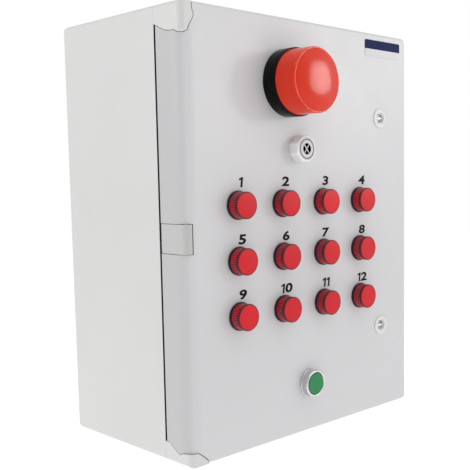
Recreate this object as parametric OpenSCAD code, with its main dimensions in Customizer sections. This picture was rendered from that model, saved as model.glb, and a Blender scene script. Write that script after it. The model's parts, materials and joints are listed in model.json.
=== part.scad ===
// Wall-mounted twelve-zone alarm panel in a hinged polyester case.
// Origin: centre of the back face. X right, Z up, the door faces -Y.

/* [Case] */
// Width of the case
case_w = 330; // [270:1:400]
// Height of the case
case_h = 430; // [355:1:520]
// Depth from the wall to the door's face
case_d = 200; // [170:1:260]
// Wall thickness of the moulded case
wall = 3.5; // [2.8:0.1:4.2]
// Corner radius on the hinge side, seen from the front
corner_r = 4.5; // [4.4:0.1:6]
// Corner radius on the lock side, seen from the front
lock_corner_r = 9; // [6:0.5:14]
// Radius of the upright back edges
back_side_r = 5; // [4.5:0.5:12]
// Radius of the top and bottom back edges
back_r = 12; // [10:0.5:18]
// Width of the seam between door and rear box
seam_gap = 2.5; // [1.8:0.1:3]

/* [Door] */
// Depth of the door from its face to its free edge
door_d = 36; // [33:0.5:43]
// Size of the soft edge on the hinge side
hinge_edge_r = 18; // [14:0.5:20]
// Radius of the door's other edges
door_edge_r = 3; // [1:0.5:4]

/* [Hinge] */
// Distance of the hinge axis from the side and from the face
hinge_in = 6.5; // [5.5:0.1:7]
// Radius of the hinge pins
pin_r = 2; // [1.5:0.1:2.4]
// Running clearance of the pins in the door
pin_clear = 0.05; // [0.02:0.01:0.1]
// Length of a pin's grip in one door boss
pin_grip = 18; // [12:1:24]
// Radius of the pin bosses
boss_r = 5; // [4:0.1:6]
// Height of the top corner lug
top_lug_h = 28; // [26:0.5:34]
// Height of the bottom corner lug
bottom_lug_h = 13; // [12:0.5:18]
// Width of the corner lugs behind the axis
lug_w = 16; // [13:0.5:16]
// Gap round the lugs and the middle block
lug_gap = 0.5; // [0.3:0.1:0.8]
// Height of the middle hinge block
mid_h = 27.6; // [20:0.2:40]

/* [Seal] */
// Distance of the sealing rim from the outer faces
rim_in = 14; // [12:0.5:18]
// Distance of the sealing rim from the hinge-side face
rim_hinge = 22; // [21.5:0.5:26]
// Thickness of the sealing rim
rim_t = 2.5; // [2:0.1:3]
// How far the sealing rim stands out of the flange
rim_h = 5; // [3:0.1:5]
// Width of the gasket
gasket_w = 6; // [5:0.5:7]
// Gap between the gasket and the rim
gasket_gap = 0.3; // [0.2:0.1:0.5]
// Height of the gasket
gasket_h = 6.2; // [5:0.1:7]

/* [Wall fixing] */
// Distance of the wall holes from the case's outer sides
fix_in = 25; // [20:0.5:40]
// Radius of the wall holes
fix_r = 3.5; // [2.5:0.1:4.5]

/* [Zone lamps] */
// Columns of lamps
lamp_cols = 4; // [4]
// Rows of lamps
lamp_rows = 3; // [3]
// Lamp pitch across
lamp_dx = 60; // [48:0.5:64]
// Lamp pitch down
lamp_dz = 54; // [48:0.5:60]
// Middle of the lamp field from the case's middle, across
lamps_x = -10.7; // [-15:0.1:0]
// Middle of the lamp field from the case's middle, up
lamps_z = -24.4; // [-30:0.1:-18]
// Radius of a lamp lens
lens_r = 13.2; // [12:0.1:14]
// How far a lamp lens stands out of the door
lens_h = 14.6; // [12:0.1:18]
// Wall of a lamp lens
lens_wall = 1.4; // [1:0.1:1.8]

/* [Panel devices] */
// Radius of the round holes for the panel devices
hole_r = 11.15; // [11:0.05:11.5]
// Clearance of a neck in its hole
neck_clear = 0.25; // [0.15:0.05:0.4]
// Clearance of a nut on its neck
nut_clear = 0.05; // [0.02:0.01:0.1]
// Radius of a panel nut
nut_r = 14.5; // [13.5:0.1:15]
// Thickness of a panel nut
nut_t = 5; // [3:0.1:6]
// Length of a neck behind the door's skin
neck_back = 18; // [14:0.5:22]
// Thickness of a sealing washer
washer_t = 0.8; // [0.5:0.1:1.5]

/* [Beacon] */
// Beacon centre from the case's middle, across
beacon_x = -31; // [-40:0.5:0]
// Beacon centre from the case's top edge
beacon_down = 65; // [55:0.5:68]
// Radius of the beacon base
beacon_r = 34; // [28:0.5:36]
// Height of the beacon base
beacon_base_h = 16.4; // [14:0.1:20]
// Radius of the beacon lens
beacon_lens_r = 32.7; // [26.7:0.1:33]
// Height of the whole beacon
beacon_h = 46; // [42:0.5:56]
// Wall of the beacon lens
beacon_wall = 2; // [1.5:0.1:2.5]

/* [Sounder] */
// Sounder centre from the case's middle, across
sounder_x = -16; // [-24:0.5:0]
// Sounder centre from the case's top edge
sounder_down = 130.7; // [126:0.1:135]
// Radius over the sounder's lobes
sounder_r = 15; // [14.5:0.1:17]
// How far the sounder stands out of the door
sounder_h = 12; // [10:0.5:16]
// Radius of the sounder's front disc
grille_r = 11.5; // [10.5:0.1:12]
// Radius of the sound opening
port_r = 5.4; // [4.5:0.1:6.5]
// Width of the bars across the sound opening
port_bar = 1.3; // [1:0.1:1.8]

/* [Push button] */
// Button centre from the case's middle, across
button_x = -4; // [-12:0.5:4]
// Button centre from the case's bottom edge
button_up = 52.3; // [45:0.1:60]
// Radius of the metal bezel
bezel_r = 14.7; // [14.2:0.1:16]
// How far the bezel stands out of the door
bezel_h = 10; // [8:0.5:13]
// Radius of the green cap
cap_r = 11.4; // [10.8:0.1:11.8]
// Gap between cap and bezel
cap_gap = 0.3; // [0.2:0.05:0.5]
// Travel of the button
button_travel = 3.5; // [2.5:0.1:4]
// Radius of the button's stem
stem_r = 6; // [4:0.1:7]
// Running clearance of the stem in its guide
stem_clear = 0.08; // [0.05:0.01:0.1]

/* [Locks] */
// Distance of the locks from the free side
lock_in = 48; // [42:0.5:54]
// Height of the upper lock above the case's middle
lock_up = 121; // [100:0.5:130]
// Depth of the lower lock below the case's middle
lock_down = 118; // [100:0.5:130]
// Radius of the lock's front ring
lock_ring_r = 10.8; // [9.5:0.1:12]
// Radius of the lock barrel
barrel_r = 8; // [7.5:0.1:8.6]
// Radius of the turning insert
insert_r = 6.35; // [5.5:0.05:6.6]
// Radius of the lock's spindle
spindle_r = 4.5; // [3.8:0.1:4.8]
// Running clearance of the insert and its spindle
lock_clear = 0.05; // [0.02:0.01:0.1]
// Thickness of the cam
cam_t = 3; // [2:0.1:4]
// Width of the cam
cam_w = 16; // [12:0.5:20]
// Overlap of the cam behind the rim
cam_bite = 7; // [4:0.5:9]

/* [Label] */
// Width of the blank label
label_w = 62; // [40:1:70]
// Height of the blank label
label_h = 18; // [12:0.5:22]
// Thickness of the label
label_t = 0.5; // [0.3:0.1:1]
// Label's distance from the free side
label_in = 11.5; // [8:0.5:20]
// Label's distance from the top edge
label_down = 7.5; // [6:0.5:12]

/* [Inside] */
// Distance of the mounting plate's edges from the case's outer sides
plate_in = 35; // [30:0.5:45]
// Thickness of the mounting plate
plate_t = 2; // [1.5:0.1:3]
// Height of the bosses under the plate
plate_boss_h = 12; // [8:0.5:16]
// Distance of the plate's screws from its edges
plate_screw_in = 12; // [10:0.5:16]
// Radius of the plate's screws
screw_r = 2; // [1.5:0.1:2.5]
// Length of the control board
board_w = 130; // [128:1:140]
// Height of the control board
board_h = 110; // [104:1:120]
// Thickness of the control board
board_t = 1.6; // [1.2:0.1:2]
// Height of the board's pillars
pillar_h = 10; // [6:0.5:14]
// Width of the power supply
psu_w = 60; // [50:1:60]
// Height of the power supply
psu_h = 108; // [100:1:115]
// Depth of the power supply
psu_d = 42; // [35:0.5:50]
// Length of the standby battery
battery_w = 97; // [80:1:110]
// Height of the standby battery
battery_h = 52; // [40:1:60]
// Depth of the standby battery
battery_d = 43; // [35:0.5:50]
// Width of the rail
rail_w = 35; // [35]
// Height of the rail
rail_h = 7.5; // [7.5, 15]
// Length of the rail
rail_len = 200; // [150:1:205]
// Number of field terminals
terminals = 16; // [10:1:20]
// Pitch of the field terminals
terminal_pitch = 7; // [6:0.5:8]

/* [Cable entry] */
// Gland centre from the case's middle, across
gland_x = 90; // [60:1:110]
// Gland centre from the wall
gland_y = 100; // [80:1:120]
// Radius of the gland's thread
gland_r = 10; // [8:0.5:12.5]
// Clearance of the gland in its hole
gland_clear = 0.2; // [0.1:0.05:0.4]
// Radius of the cable hole
cable_r = 5; // [3:0.5:6]

/* [Hidden] */

$fn = 96;
eps = 0.01;
seam_d = door_d + seam_gap;
fix_w = case_w - 2 * fix_in;
fix_h = case_h - 2 * fix_in;
plate_w = case_w - 2 * plate_in;
plate_h = case_h - 2 * plate_in;
hinge_x = -case_w / 2 + hinge_in;
hinge_y = -case_d + hinge_in;
neck_r = hole_r - neck_clear;
lock_x = case_w / 2 - lock_in;
lock_zs = [lock_up, -lock_down];
lamp_count = lamp_cols * lamp_rows;
lamp_at = [for (j = [0 : lamp_rows - 1]) for (i = [0 : lamp_cols - 1])
  [lamps_x + (i - (lamp_cols - 1) / 2) * lamp_dx, lamps_z - (j - (lamp_rows - 1) / 2) * lamp_dz]];
beacon_z = case_h / 2 - beacon_down;
sounder_z = case_h / 2 - sounder_down;
button_z = -case_h / 2 + button_up;
plate_y = -wall - plate_boss_h - plate_t;

// Squareness of the soft corner: 2 is a circle, more is squarer
soft_n = 2.8;
// Hinge: lugs, pins and the block between them
knuckle_r = hinge_in - 0.1;
lug_reach = seam_d - hinge_in + 1;
pin_seat = 8;
pin_tip = 0.6;
pin_press = 0.02;
mid_pin_grip = 12;
block_d = seam_d - seam_gap;
block_w = 8;
foot_w = 17;
// Gasket channel in the door
channel_out = (gasket_w - rim_t) / 2 + 1.5;
channel_d = seam_d - rim_h - gasket_gap - gasket_h;
// Lock: insert, barrel and cam
insert_d = 2.5;
barrel_len = 30;
tang = 1.3 * spindle_r;
cam_gap = 1;
cam_d = seam_d + wall + cam_gap;
cam_reach = lock_in - rim_in - rim_t + cam_bite;
// Beacon: floor of the base and its two screws
beacon_floor = 5;
beacon_screw_r = beacon_lens_r - 8.7;
beacon_board_r = beacon_screw_r - 6;
// Sounder and lamp
sounder_lobes = 8;
light_bore = 8.5;
bezel_ring_r = lens_r + 1;
bezel_ring_t = 1.4;
// Cable gland
gland_neck = 16;
gland_nut_t = 5;
gland_flange_t = 4;
// Inside: places from the mounting plate's edges
plate_margin = 22;
psu_at = [-plate_w / 2 + plate_margin, plate_h / 2 - plate_margin - psu_h];
board_at = [plate_w / 2 - plate_margin - board_w, plate_h / 2 - plate_margin - board_h];
board_y = plate_y - pillar_h;
relay_size = [17, 15.5, 19];
relay_pitch = [20, 22];
battery_at = [-plate_w / 2 + plate_margin + 2, -plate_h / 2 + plate_margin];
bracket_t = 1.2;
bracket_h = 22;
rail_z = battery_at[1] + battery_h + 30;

case_grey = [0.84, 0.84, 0.84];
lamp_red = [0.76, 0.12, 0.15];
steel = [0.72, 0.73, 0.75];

// ---- Outlines and forms ---------------------------------------------------

function arc(cx, cy, r, a0, a1, n = 8) =
  [for (i = [0 : n]) [cx + r * cos(a0 + (a1 - a0) * i / n), cy + r * sin(a0 + (a1 - a0) * i / n)]];

// Rounded rectangle centred on the origin, with its own radius for the left corners
function round_rect(w, h, r, left_r) = concat(
  arc(w / 2 - r, h / 2 - r, r, 0, 90), arc(-w / 2 + left_r, h / 2 - left_r, left_r, 90, 180),
  arc(-w / 2 + left_r, -h / 2 + left_r, left_r, 180, 270), arc(w / 2 - r, -h / 2 + r, r, 270, 360));

// Soft corner between the side and the face
function soft_corner(x, y, r, n = 14) =
  [for (i = [0 : n]) let (a = 90 * i / n)
    [x + r - r * pow(cos(a), 2 / soft_n), y + r - r * pow(sin(a), 2 / soft_n)]];

// Local frame on the door's face: x right, y up, z out of the face
module on_face(x, z) {
  translate([x, -case_d, z]) rotate([90, 0, 0]) children();
}

// Prism along Y between two depths behind the face
module depth_prism(d0, d1) {
  translate([0, -case_d + d1, 0]) rotate([90, 0, 0]) linear_extrude(d1 - d0) children();
}

// Box between two corners given as x, depth, z
module depth_box(x, d, z) {
  translate([x[0], -case_d + d[0], z[0]]) cube([x[1] - x[0], d[1] - d[0], z[1] - z[0]]);
}

module front_outline(inset) {
  polygon(round_rect(case_w - 2 * inset, case_h - 2 * inset, lock_corner_r - inset, corner_r - inset));
}

// Section with round back corners, first axis across, second axis depth
function back_section(half, inset, r) = concat(
  [[-half + inset, -case_d], [half - inset, -case_d]],
  arc(half - r, -r, r - inset, 0, 90),
  arc(-half + r, -r, r - inset, 90, 180));

module case_form(inset, d0) {
  intersection() {
    depth_prism(d0, case_d) front_outline(inset);
    translate([0, 0, -case_h / 2]) linear_extrude(case_h)
      polygon(back_section(case_w / 2, inset, back_side_r));
    translate([-case_w / 2, 0, 0]) rotate([90, 0, 90]) linear_extrude(case_w)
      polygon([for (p = back_section(case_h / 2, inset, back_r)) [p[1], p[0]]]);
  }
}

function door_section(inset) = let (r = door_edge_r - inset > 0.5 ? door_edge_r - inset : 0.5) concat(
  soft_corner(-case_w / 2 + inset, -case_d + inset, hinge_edge_r - inset),
  arc(case_w / 2 - inset - r, -case_d + inset + r, r, 270, 360, 5),
  [[case_w / 2 - inset, -case_d + door_d], [-case_w / 2 + inset, -case_d + door_d]]);

function door_profile(inset) = let (r = door_edge_r - inset > 0.5 ? door_edge_r - inset : 0.5) concat(
  arc(-case_d + inset + r, case_h / 2 - inset - r, r, 90, 180, 5),
  arc(-case_d + inset + r, -case_h / 2 + inset + r, r, 180, 270, 5),
  [[-case_d + door_d, -case_h / 2 + inset], [-case_d + door_d, case_h / 2 - inset]]);

module door_form(inset) {
  intersection() {
    depth_prism(0, door_d) front_outline(inset);
    translate([0, 0, -case_h / 2]) linear_extrude(case_h) polygon(door_section(inset));
    translate([-case_w / 2, 0, 0]) rotate([90, 0, 90]) linear_extrude(case_w) polygon(door_profile(inset));
  }
}

// Rectangular prism measured inwards from the sealing rim's outer line
module rim_prism(off, d0, d1) {
  depth_box([-case_w / 2 + rim_hinge + off, case_w / 2 - rim_in - off], [d0, d1],
    [-case_h / 2 + rim_in + off, case_h / 2 - rim_in - off]);
}

module rim_ring(off0, off1, d0, d1) {
  difference() {
    rim_prism(off0, d0, d1);
    rim_prism(off1, d0 - 1, d1 + 1);
  }
}

// Turned form about the hinge axis: points are radius and distance from the top or bottom edge
module turned(points, top) {
  translate([hinge_x, hinge_y, top ? case_h / 2 : -case_h / 2]) mirror([0, 0, top ? 1 : 0])
    rotate_extrude() polygon(points);
}

// Front and rear profiles of the lugs, grown by g for the door's cut-out
function top_front(g) = [[0, -g], [9.6 + g, -g], [10 + g, 7], [11.3 + g, 12], [10.6 + g, 14.6],
  [knuckle_r + g, top_lug_h - 4], [knuckle_r + g, top_lug_h - 2], [pin_r + 1.8 + g, top_lug_h + g],
  [0, top_lug_h + g]];
function top_rear(g) = [[0, -g], [lug_reach, -g], [lug_reach, top_lug_h - 10.5 + g],
  [16.8, top_lug_h - 3.2 + g], [10, top_lug_h - 2 + g], [0, top_lug_h - 2 + g]];
function bottom_front(g) = [[0, -g], [16.5 + g, -g], [15.6 + g, 3.4 + g], [knuckle_r + g, bottom_lug_h + g],
  [0, bottom_lug_h + g]];
function bottom_rear(g) = [[0, -g], [lug_reach, -g], [lug_reach, bottom_lug_h + 6.5 + g],
  [27, bottom_lug_h + 6.5 + g], [12, bottom_lug_h - 2.5 + g], [7, bottom_lug_h + g], [0, bottom_lug_h + g]];

// Space behind the axis on the hinge side
module behind_axis(grow) {
  depth_box([-case_w / 2 - 1, -case_w / 2 + lug_w + grow], [hinge_in - grow, seam_d],
    [-case_h / 2 - 1, case_h / 2 + 1]);
}

module lug(top) {
  corner = hinge_in - 0.05;
  intersection() {
    depth_prism(0, seam_d + 1) front_outline(0);
    translate([0, 0, -case_h / 2]) linear_extrude(case_h) polygon(concat(
      arc(-case_w / 2 + corner, -case_d + corner, corner, 180, 270, 12),
      [[-case_w / 2 + 40, -case_d], [-case_w / 2 + 40, -case_d + seam_d + wall / 2],
        [-case_w / 2, -case_d + seam_d + wall / 2]]));
    union() {
      turned(top ? top_front(0) : bottom_front(0), top);
      intersection() {
        turned(top ? top_rear(0) : bottom_rear(0), top);
        union() {
          behind_axis(0);
          depth_box([-case_w / 2, -case_w / 2 + lug_w], [seam_d - eps, seam_d + wall / 2],
            [-case_h / 2, case_h / 2]);
        }
      }
    }
  }
}

module lug_cut(top) {
  turned(top ? top_front(lug_gap) : bottom_front(lug_gap), top);
  intersection() {
    turned(top ? top_rear(lug_gap) : bottom_rear(lug_gap), top);
    behind_axis(lug_gap);
  }
}

// ---- Rear box and what is fixed to it --------------------------------------

module rear_box() {
  color(case_grey) difference() {
    union() {
      difference() {
        case_form(0, seam_d);
        case_form(wall, seam_d + wall);
        rim_prism(rim_t, seam_d - 1, seam_d + wall + 1);
      }
      rim_ring(0, rim_t, seam_d - rim_h, seam_d + wall);
      lug(true);
      lug(false);
      for (x = [-1, 1], z = [-1, 1]) {
        translate([x * (plate_w / 2 - plate_screw_in), -wall + eps, z * (plate_h / 2 - plate_screw_in)])
          rotate([90, 0, 0]) cylinder(r = 6, h = plate_boss_h + eps);
        translate([x * fix_w / 2, -wall + eps, z * fix_h / 2])
          rotate([90, 0, 0]) cylinder(r = fix_r + 4, h = 4);
      }
    }
    for (x = [-1, 1], z = [-1, 1]) {
      translate([x * (plate_w / 2 - plate_screw_in), -wall, z * (plate_h / 2 - plate_screw_in)])
        rotate([90, 0, 0]) cylinder(r = screw_r, h = plate_boss_h + 1);
      translate([x * fix_w / 2, 1, z * fix_h / 2]) rotate([90, 0, 0]) cylinder(r = fix_r, h = wall + 6);
    }
    for (z = [top_pin_z(), bottom_pin_z()])
      translate([hinge_x, hinge_y, z]) cylinder(r = pin_r + pin_press, h = pin_len());
    translate([gland_x, -gland_y, -case_h / 2 - 1]) cylinder(r = gland_r + gland_clear, h = wall + 2);
    for (z = [-1, 1]) block_screw_place(z) cylinder(r = 1.25, h = 12, center = true);
  }
}

function pin_len() = pin_seat + pin_grip;
function top_pin_z() = case_h / 2 - top_lug_h - pin_grip;
function bottom_pin_z() = -case_h / 2 + bottom_lug_h - pin_seat;

module hinge_pin(z, h) {
  color(steel) translate([hinge_x, hinge_y, z]) {
    translate([0, 0, pin_tip]) cylinder(r = pin_r, h = h - 2 * pin_tip);
    cylinder(r1 = pin_r - pin_tip, r2 = pin_r, h = pin_tip);
    translate([0, 0, h - pin_tip]) cylinder(r1 = pin_r, r2 = pin_r - pin_tip, h = pin_tip);
  }
}

module block_screw_place(z) {
  translate([-case_w / 2 + 12.5, -case_d + seam_d, z * mid_h / 4]) rotate([90, 0, 0]) children();
}

module hinge_block() {
  color(case_grey) difference() {
    union() {
      translate([hinge_x, hinge_y, -mid_h / 2]) cylinder(r = hinge_in - 0.4, h = mid_h);
      depth_box([-case_w / 2 + 0.4, -case_w / 2 + block_w], [hinge_in, block_d], [-mid_h / 2, mid_h / 2]);
      depth_box([-case_w / 2 + wall, -case_w / 2 + foot_w], [block_d - 0.1, seam_d],
        [-mid_h / 2, mid_h / 2]);
    }
    translate([hinge_x, hinge_y, -mid_h / 2 - 1]) cylinder(r = pin_r + pin_press, h = mid_h + 2);
    for (z = [-1, 1]) block_screw_place(z) cylinder(r = 1.6, h = 12, center = true);
  }
}

module hinge_block_screws() {
  color(steel) for (z = [-1, 1]) block_screw_place(z) {
    translate([0, 0, seam_gap + 0.1]) cylinder(r = 2.8, h = 1.6);
    translate([0, 0, -wall - 3]) cylinder(r = 1.2, h = wall + seam_gap + 3.2);
  }
}

module mounting_plate() {
  color("silver") difference() {
    translate([0, plate_y + plate_t, 0]) rotate([90, 0, 0]) linear_extrude(plate_t)
      polygon(round_rect(plate_w, plate_h, 6, 6));
    for (x = [-1, 1], z = [-1, 1])
      translate([x * (plate_w / 2 - plate_screw_in), 0, z * (plate_h / 2 - plate_screw_in)])
        rotate([90, 0, 0]) cylinder(r = screw_r + 0.3, h = case_d);
  }
}

module plate_screws() {
  color(steel) for (x = [-1, 1], z = [-1, 1])
    translate([x * (plate_w / 2 - plate_screw_in), plate_y, z * (plate_h / 2 - plate_screw_in)])
      rotate([90, 0, 0]) difference() {
        union() {
          cylinder(r = 4, h = 3);
          translate([0, 0, -10]) cylinder(r = screw_r - 0.05, h = 10.5);
        }
        translate([-3, -0.5, 2]) cube([6, 1, 2]);
      }
}

module din_rail() {
  color("gainsboro") translate([-rail_len / 2, plate_y, rail_z]) rotate([90, 0, 90]) linear_extrude(rail_len)
    polygon([[0, -12.5], [0, 12.5], [-rail_h + 1, 12.5], [-rail_h + 1, rail_w / 2], [-rail_h, rail_w / 2],
      [-rail_h, 11.5], [-1, 11.5], [-1, -11.5], [-rail_h, -11.5], [-rail_h, -rail_w / 2],
      [-rail_h + 1, -rail_w / 2], [-rail_h + 1, -12.5]]);
}

module terminal_row() {
  for (i = [0 : terminals - 1])
    color(i % 8 == 7 ? "seagreen" : "lightslategray")
      translate([(i - (terminals - 1) / 2) * terminal_pitch, plate_y - rail_h, rail_z]) rotate([90, 0, 90])
        translate([0, 0, -terminal_pitch / 2 + 0.1]) difference() {
          linear_extrude(terminal_pitch - 0.2)
            polygon([[0, -22], [0, 22], [-20, 22], [-26, 16], [-38, 16], [-38, -16], [-26, -16], [-20, -22]]);
          for (y = [-11, 11])
            translate([-38 + eps, y, terminal_pitch / 2 - 0.1]) rotate([0, 90, 0])
              translate([0, 0, -1]) cylinder(r = 1.8, h = 5);
        }
}

module power_supply() {
  color("gainsboro") translate([psu_at[0], plate_y - psu_d, psu_at[1]]) difference() {
    cube([psu_w, psu_d, psu_h]);
    // Air slots
    for (i = [0 : 7], j = [0 : 1])
      translate([psu_w / 2 - 18 + 20 * j, -1, psu_h - 74 + 8 * i]) cube([16, 3, 3]);
    // Terminal step and its screws
    translate([6, -1, -1]) cube([psu_w - 12, 15, 15]);
    for (i = [-2 : 2])
      translate([psu_w / 2 + 8.5 * i, 26, 10]) rotate([90, 0, 0]) cylinder(r = 2.6, h = 14);
  }
}

module pillar_places() {
  for (x = [6, board_w - 6], z = [6, board_h - 6])
    translate([board_at[0] + x, 0, board_at[1] + z]) children();
}

module board_pillars() {
  color("goldenrod") pillar_places() {
    translate([0, plate_y, 0]) rotate([90, 0, 0]) cylinder(r = 3, h = pillar_h, $fn = 6);
    translate([0, board_y - board_t, 0]) rotate([90, 0, 0]) cylinder(r = 2.8, h = 2);
    translate([0, board_y + 1, 0]) rotate([90, 0, 0]) cylinder(r = 1.5, h = board_t + 2);
  }
}

module control_board() {
  front = board_y - board_t;
  difference() {
    union() {
      color("darkgreen") translate([board_at[0], front, board_at[1]]) cube([board_w, board_t, board_h]);
      // Processor, drivers and clock
      color("black") for (p = [[46, 20, 26, 26], [80, 22, 20, 8], [80, 34, 20, 8], [22, 24, 14, 14]])
        translate([board_at[0] + p[0], front - 2.4, board_at[1] + p[1]]) cube([p[2], 2.5, p[3]]);
      // Plug-in connector strip along the lower edge
      color("limegreen") for (i = [0 : 11])
        translate([board_at[0] + 14 + 8.6 * i, front - 9, board_at[1] + 2]) cube([8, 9.1, 9]);
      // Capacitors
      color("midnightblue") for (p = [[114, 24], [114, 38], [14, 44]])
        translate([board_at[0] + p[0], front + 0.1, board_at[1] + p[1]]) rotate([90, 0, 0])
          cylinder(r = 5, h = 13);
    }
    pillar_places() translate([0, board_y + 1, 0]) rotate([90, 0, 0]) cylinder(r = 1.6, h = board_t + 2);
  }
}

module relay_bank() {
  color("dodgerblue") for (i = [0 : 5], j = [0 : 1])
    translate([board_at[0] + 6.5 + relay_pitch[0] * i, board_y - board_t - relay_size[1],
      board_at[1] + 56 + relay_pitch[1] * j])
      difference() {
        cube(relay_size);
        translate([-1, -1, relay_size[2] - 1]) cube([relay_size[0] + 2, 2, 2]);
      }
}

module standby_battery() {
  color("dimgray") translate([battery_at[0], plate_y - battery_d, battery_at[1]]) {
    cube([battery_w, battery_d, battery_h]);
    for (x = [8, 24]) translate([x, battery_d - 26, battery_h - eps]) cube([5, 1, 7]);
  }
}

module battery_bracket() {
  x = battery_at[0];
  z = battery_at[1] + battery_h / 2 - bracket_h / 2;
  w = battery_w;
  d = battery_d;
  h = bracket_h;
  color("lightgray") difference() {
    union() {
      translate([x - bracket_t, plate_y - d - bracket_t, z]) cube([w + 2 * bracket_t, bracket_t, h]);
      for (s = [x - bracket_t, x + w]) translate([s, plate_y - d - eps, z]) cube([bracket_t, d + eps, h]);
      translate([x + w, plate_y - bracket_t, z]) cube([14, bracket_t, h]);
      translate([x - bracket_t - 8, plate_y - bracket_t, z]) cube([8 + eps, bracket_t, h]);
    }
    translate([x + w + 8, plate_y + 1, z + h / 2]) rotate([90, 0, 0]) cylinder(r = 2.1, h = 5);
  }
}

module cable_gland() {
  color("dimgray") translate([gland_x, -gland_y, -case_h / 2]) difference() {
    union() {
      translate([0, 0, -gland_flange_t]) cylinder(r = gland_r + 3.5, h = gland_flange_t, $fn = 6);
      cylinder(r = gland_r, h = gland_neck - 2);
      translate([0, 0, -gland_flange_t - 9]) cylinder(r = gland_r + 1.8, h = 9 + eps);
      translate([0, 0, -gland_flange_t - 14]) cylinder(r1 = gland_r - 3, r2 = gland_r + 1.8, h = 5 + eps);
      for (i = [0 : 11]) rotate([0, 0, 30 * i])
        translate([gland_r + 1.4, -1, -gland_flange_t - 8.5]) cube([1.2, 2, 9]);
    }
    translate([0, 0, -30]) cylinder(r = cable_r, h = 60);
  }
}

module gland_locknut() {
  color("dimgray") translate([gland_x, -gland_y, -case_h / 2 + wall]) difference() {
    cylinder(r = gland_r + 4, h = gland_nut_t, $fn = 6);
    translate([0, 0, -1]) cylinder(r = gland_r + nut_clear, h = gland_nut_t + 2);
  }
}

// ---- Door and what is fixed to it ------------------------------------------

module door_boss(z0, z1) {
  intersection() {
    door_form(0);
    translate([hinge_x, hinge_y, z0]) cylinder(r = boss_r, h = z1 - z0);
  }
}

module door() {
  mid = mid_h / 2 + lug_gap;
  top_z = case_h / 2 - top_lug_h - lug_gap;
  bottom_z = -case_h / 2 + bottom_lug_h + lug_gap;
  color(case_grey) difference() {
    union() {
      difference() {
        door_form(0);
        door_form(wall);
      }
      // Gasket channel on its rib
      rim_ring(0, rim_t, wall - 0.2, channel_d - 1);
      rim_ring(-channel_out, rim_t + channel_out, channel_d - 2.5, channel_d);
      rim_ring(-channel_out, -channel_out + 1.5, channel_d - eps, channel_d + 3);
      rim_ring(rim_t + channel_out - 1.5, rim_t + channel_out, channel_d - eps, channel_d + 3);
      door_boss(top_z - pin_grip - 3, top_z);
      door_boss(bottom_z, bottom_z + pin_grip + 3);
      door_boss(mid, mid + mid_pin_grip + 3);
      door_boss(-mid - mid_pin_grip - 3, -mid);
    }
    lug_cut(true);
    lug_cut(false);
    // Clearance for the middle hinge block
    translate([hinge_x, hinge_y, -mid]) cylinder(r = hinge_in + 0.35, h = 2 * mid);
    depth_box([-case_w / 2 - 1, -case_w / 2 + block_w + lug_gap], [hinge_in - 3, seam_d], [-mid, mid]);
    // Pin bores
    translate([hinge_x, hinge_y, top_z - pin_grip - 0.5]) cylinder(r = pin_r + pin_clear, h = pin_grip + 2);
    translate([hinge_x, hinge_y, bottom_z - 1]) cylinder(r = pin_r + pin_clear, h = pin_grip + 1.5);
    translate([hinge_x, hinge_y, -mid - mid_pin_grip - 0.5])
      cylinder(r = pin_r + pin_clear, h = 2 * (mid + mid_pin_grip) + 1);
    // Holes for the panel devices
    for (p = concat(lamp_at, [[sounder_x, sounder_z], [button_x, button_z]]))
      on_face(p[0], p[1]) translate([0, 0, -wall - 1]) cylinder(r = hole_r, h = wall + 2);
    for (z = lock_zs)
      on_face(lock_x, z) translate([0, 0, -wall - 1]) cylinder(r = barrel_r + 0.1, h = wall + 2);
    on_face(beacon_x, beacon_z) {
      translate([0, 0, -wall - 1]) cylinder(r = 5, h = wall + 2);
      for (a = [0, 180]) rotate([0, 0, a])
        translate([beacon_screw_r, 0, -wall - 1]) cylinder(r = 2.2, h = wall + 2);
    }
  }
}

module door_gasket() {
  side = (gasket_w - rim_t) / 2;
  color([0.25, 0.25, 0.27]) rim_ring(-side, rim_t + side, channel_d, channel_d + gasket_h);
}

module lock_housing(z) {
  color("lightgray") on_face(lock_x, z) difference() {
    union() {
      rotate_extrude()
        polygon([[0, 0], [lock_ring_r, 0], [lock_ring_r, 0.5], [lock_ring_r - 0.7, 1.1], [0, 1.1]]);
      translate([0, 0, -barrel_len]) cylinder(r = barrel_r, h = barrel_len + eps);
    }
    translate([0, 0, -insert_d - 7]) cylinder(r = insert_r + lock_clear, h = insert_d + 10);
    translate([0, 0, -barrel_len - 1]) cylinder(r = spindle_r + lock_clear, h = barrel_len);
  }
}

module lock_nuts() {
  color(steel) for (z = lock_zs) on_face(lock_x, z) translate([0, 0, -wall - 4]) difference() {
    cylinder(r = barrel_r + 5, h = 4, $fn = 6);
    translate([0, 0, -1]) cylinder(r = barrel_r + nut_clear, h = 6);
  }
}

module lock_core(z) {
  color("lightgray") on_face(lock_x, z) difference() {
    union() {
      // Dished insert with the double-bit pin
      difference() {
        translate([0, 0, -insert_d - 6.9]) cylinder(r = insert_r, h = 6.9 + insert_d - 0.4);
        translate([0, 0, -insert_d - 2]) cylinder(r = insert_r - 1, h = 8);
      }
      translate([0, 0, -insert_d - 2.5]) cylinder(r = 1.5, h = insert_d + 2);
      translate([-insert_r + 0.9, -0.8, -insert_d - 2.5]) cube([2 * insert_r - 1.8, 1.6, insert_d + 1]);
      translate([0, 0, -cam_d + 0.1]) cylinder(r = spindle_r, h = cam_d - insert_d - 6);
      translate([-tang / 2, -tang / 2, -cam_d - cam_t + 0.1]) cube([tang, tang, cam_t + 0.5]);
    }
    translate([0, 0, -cam_d - cam_t - 1]) cylinder(r = 1.7, h = 9);
  }
}

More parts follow.
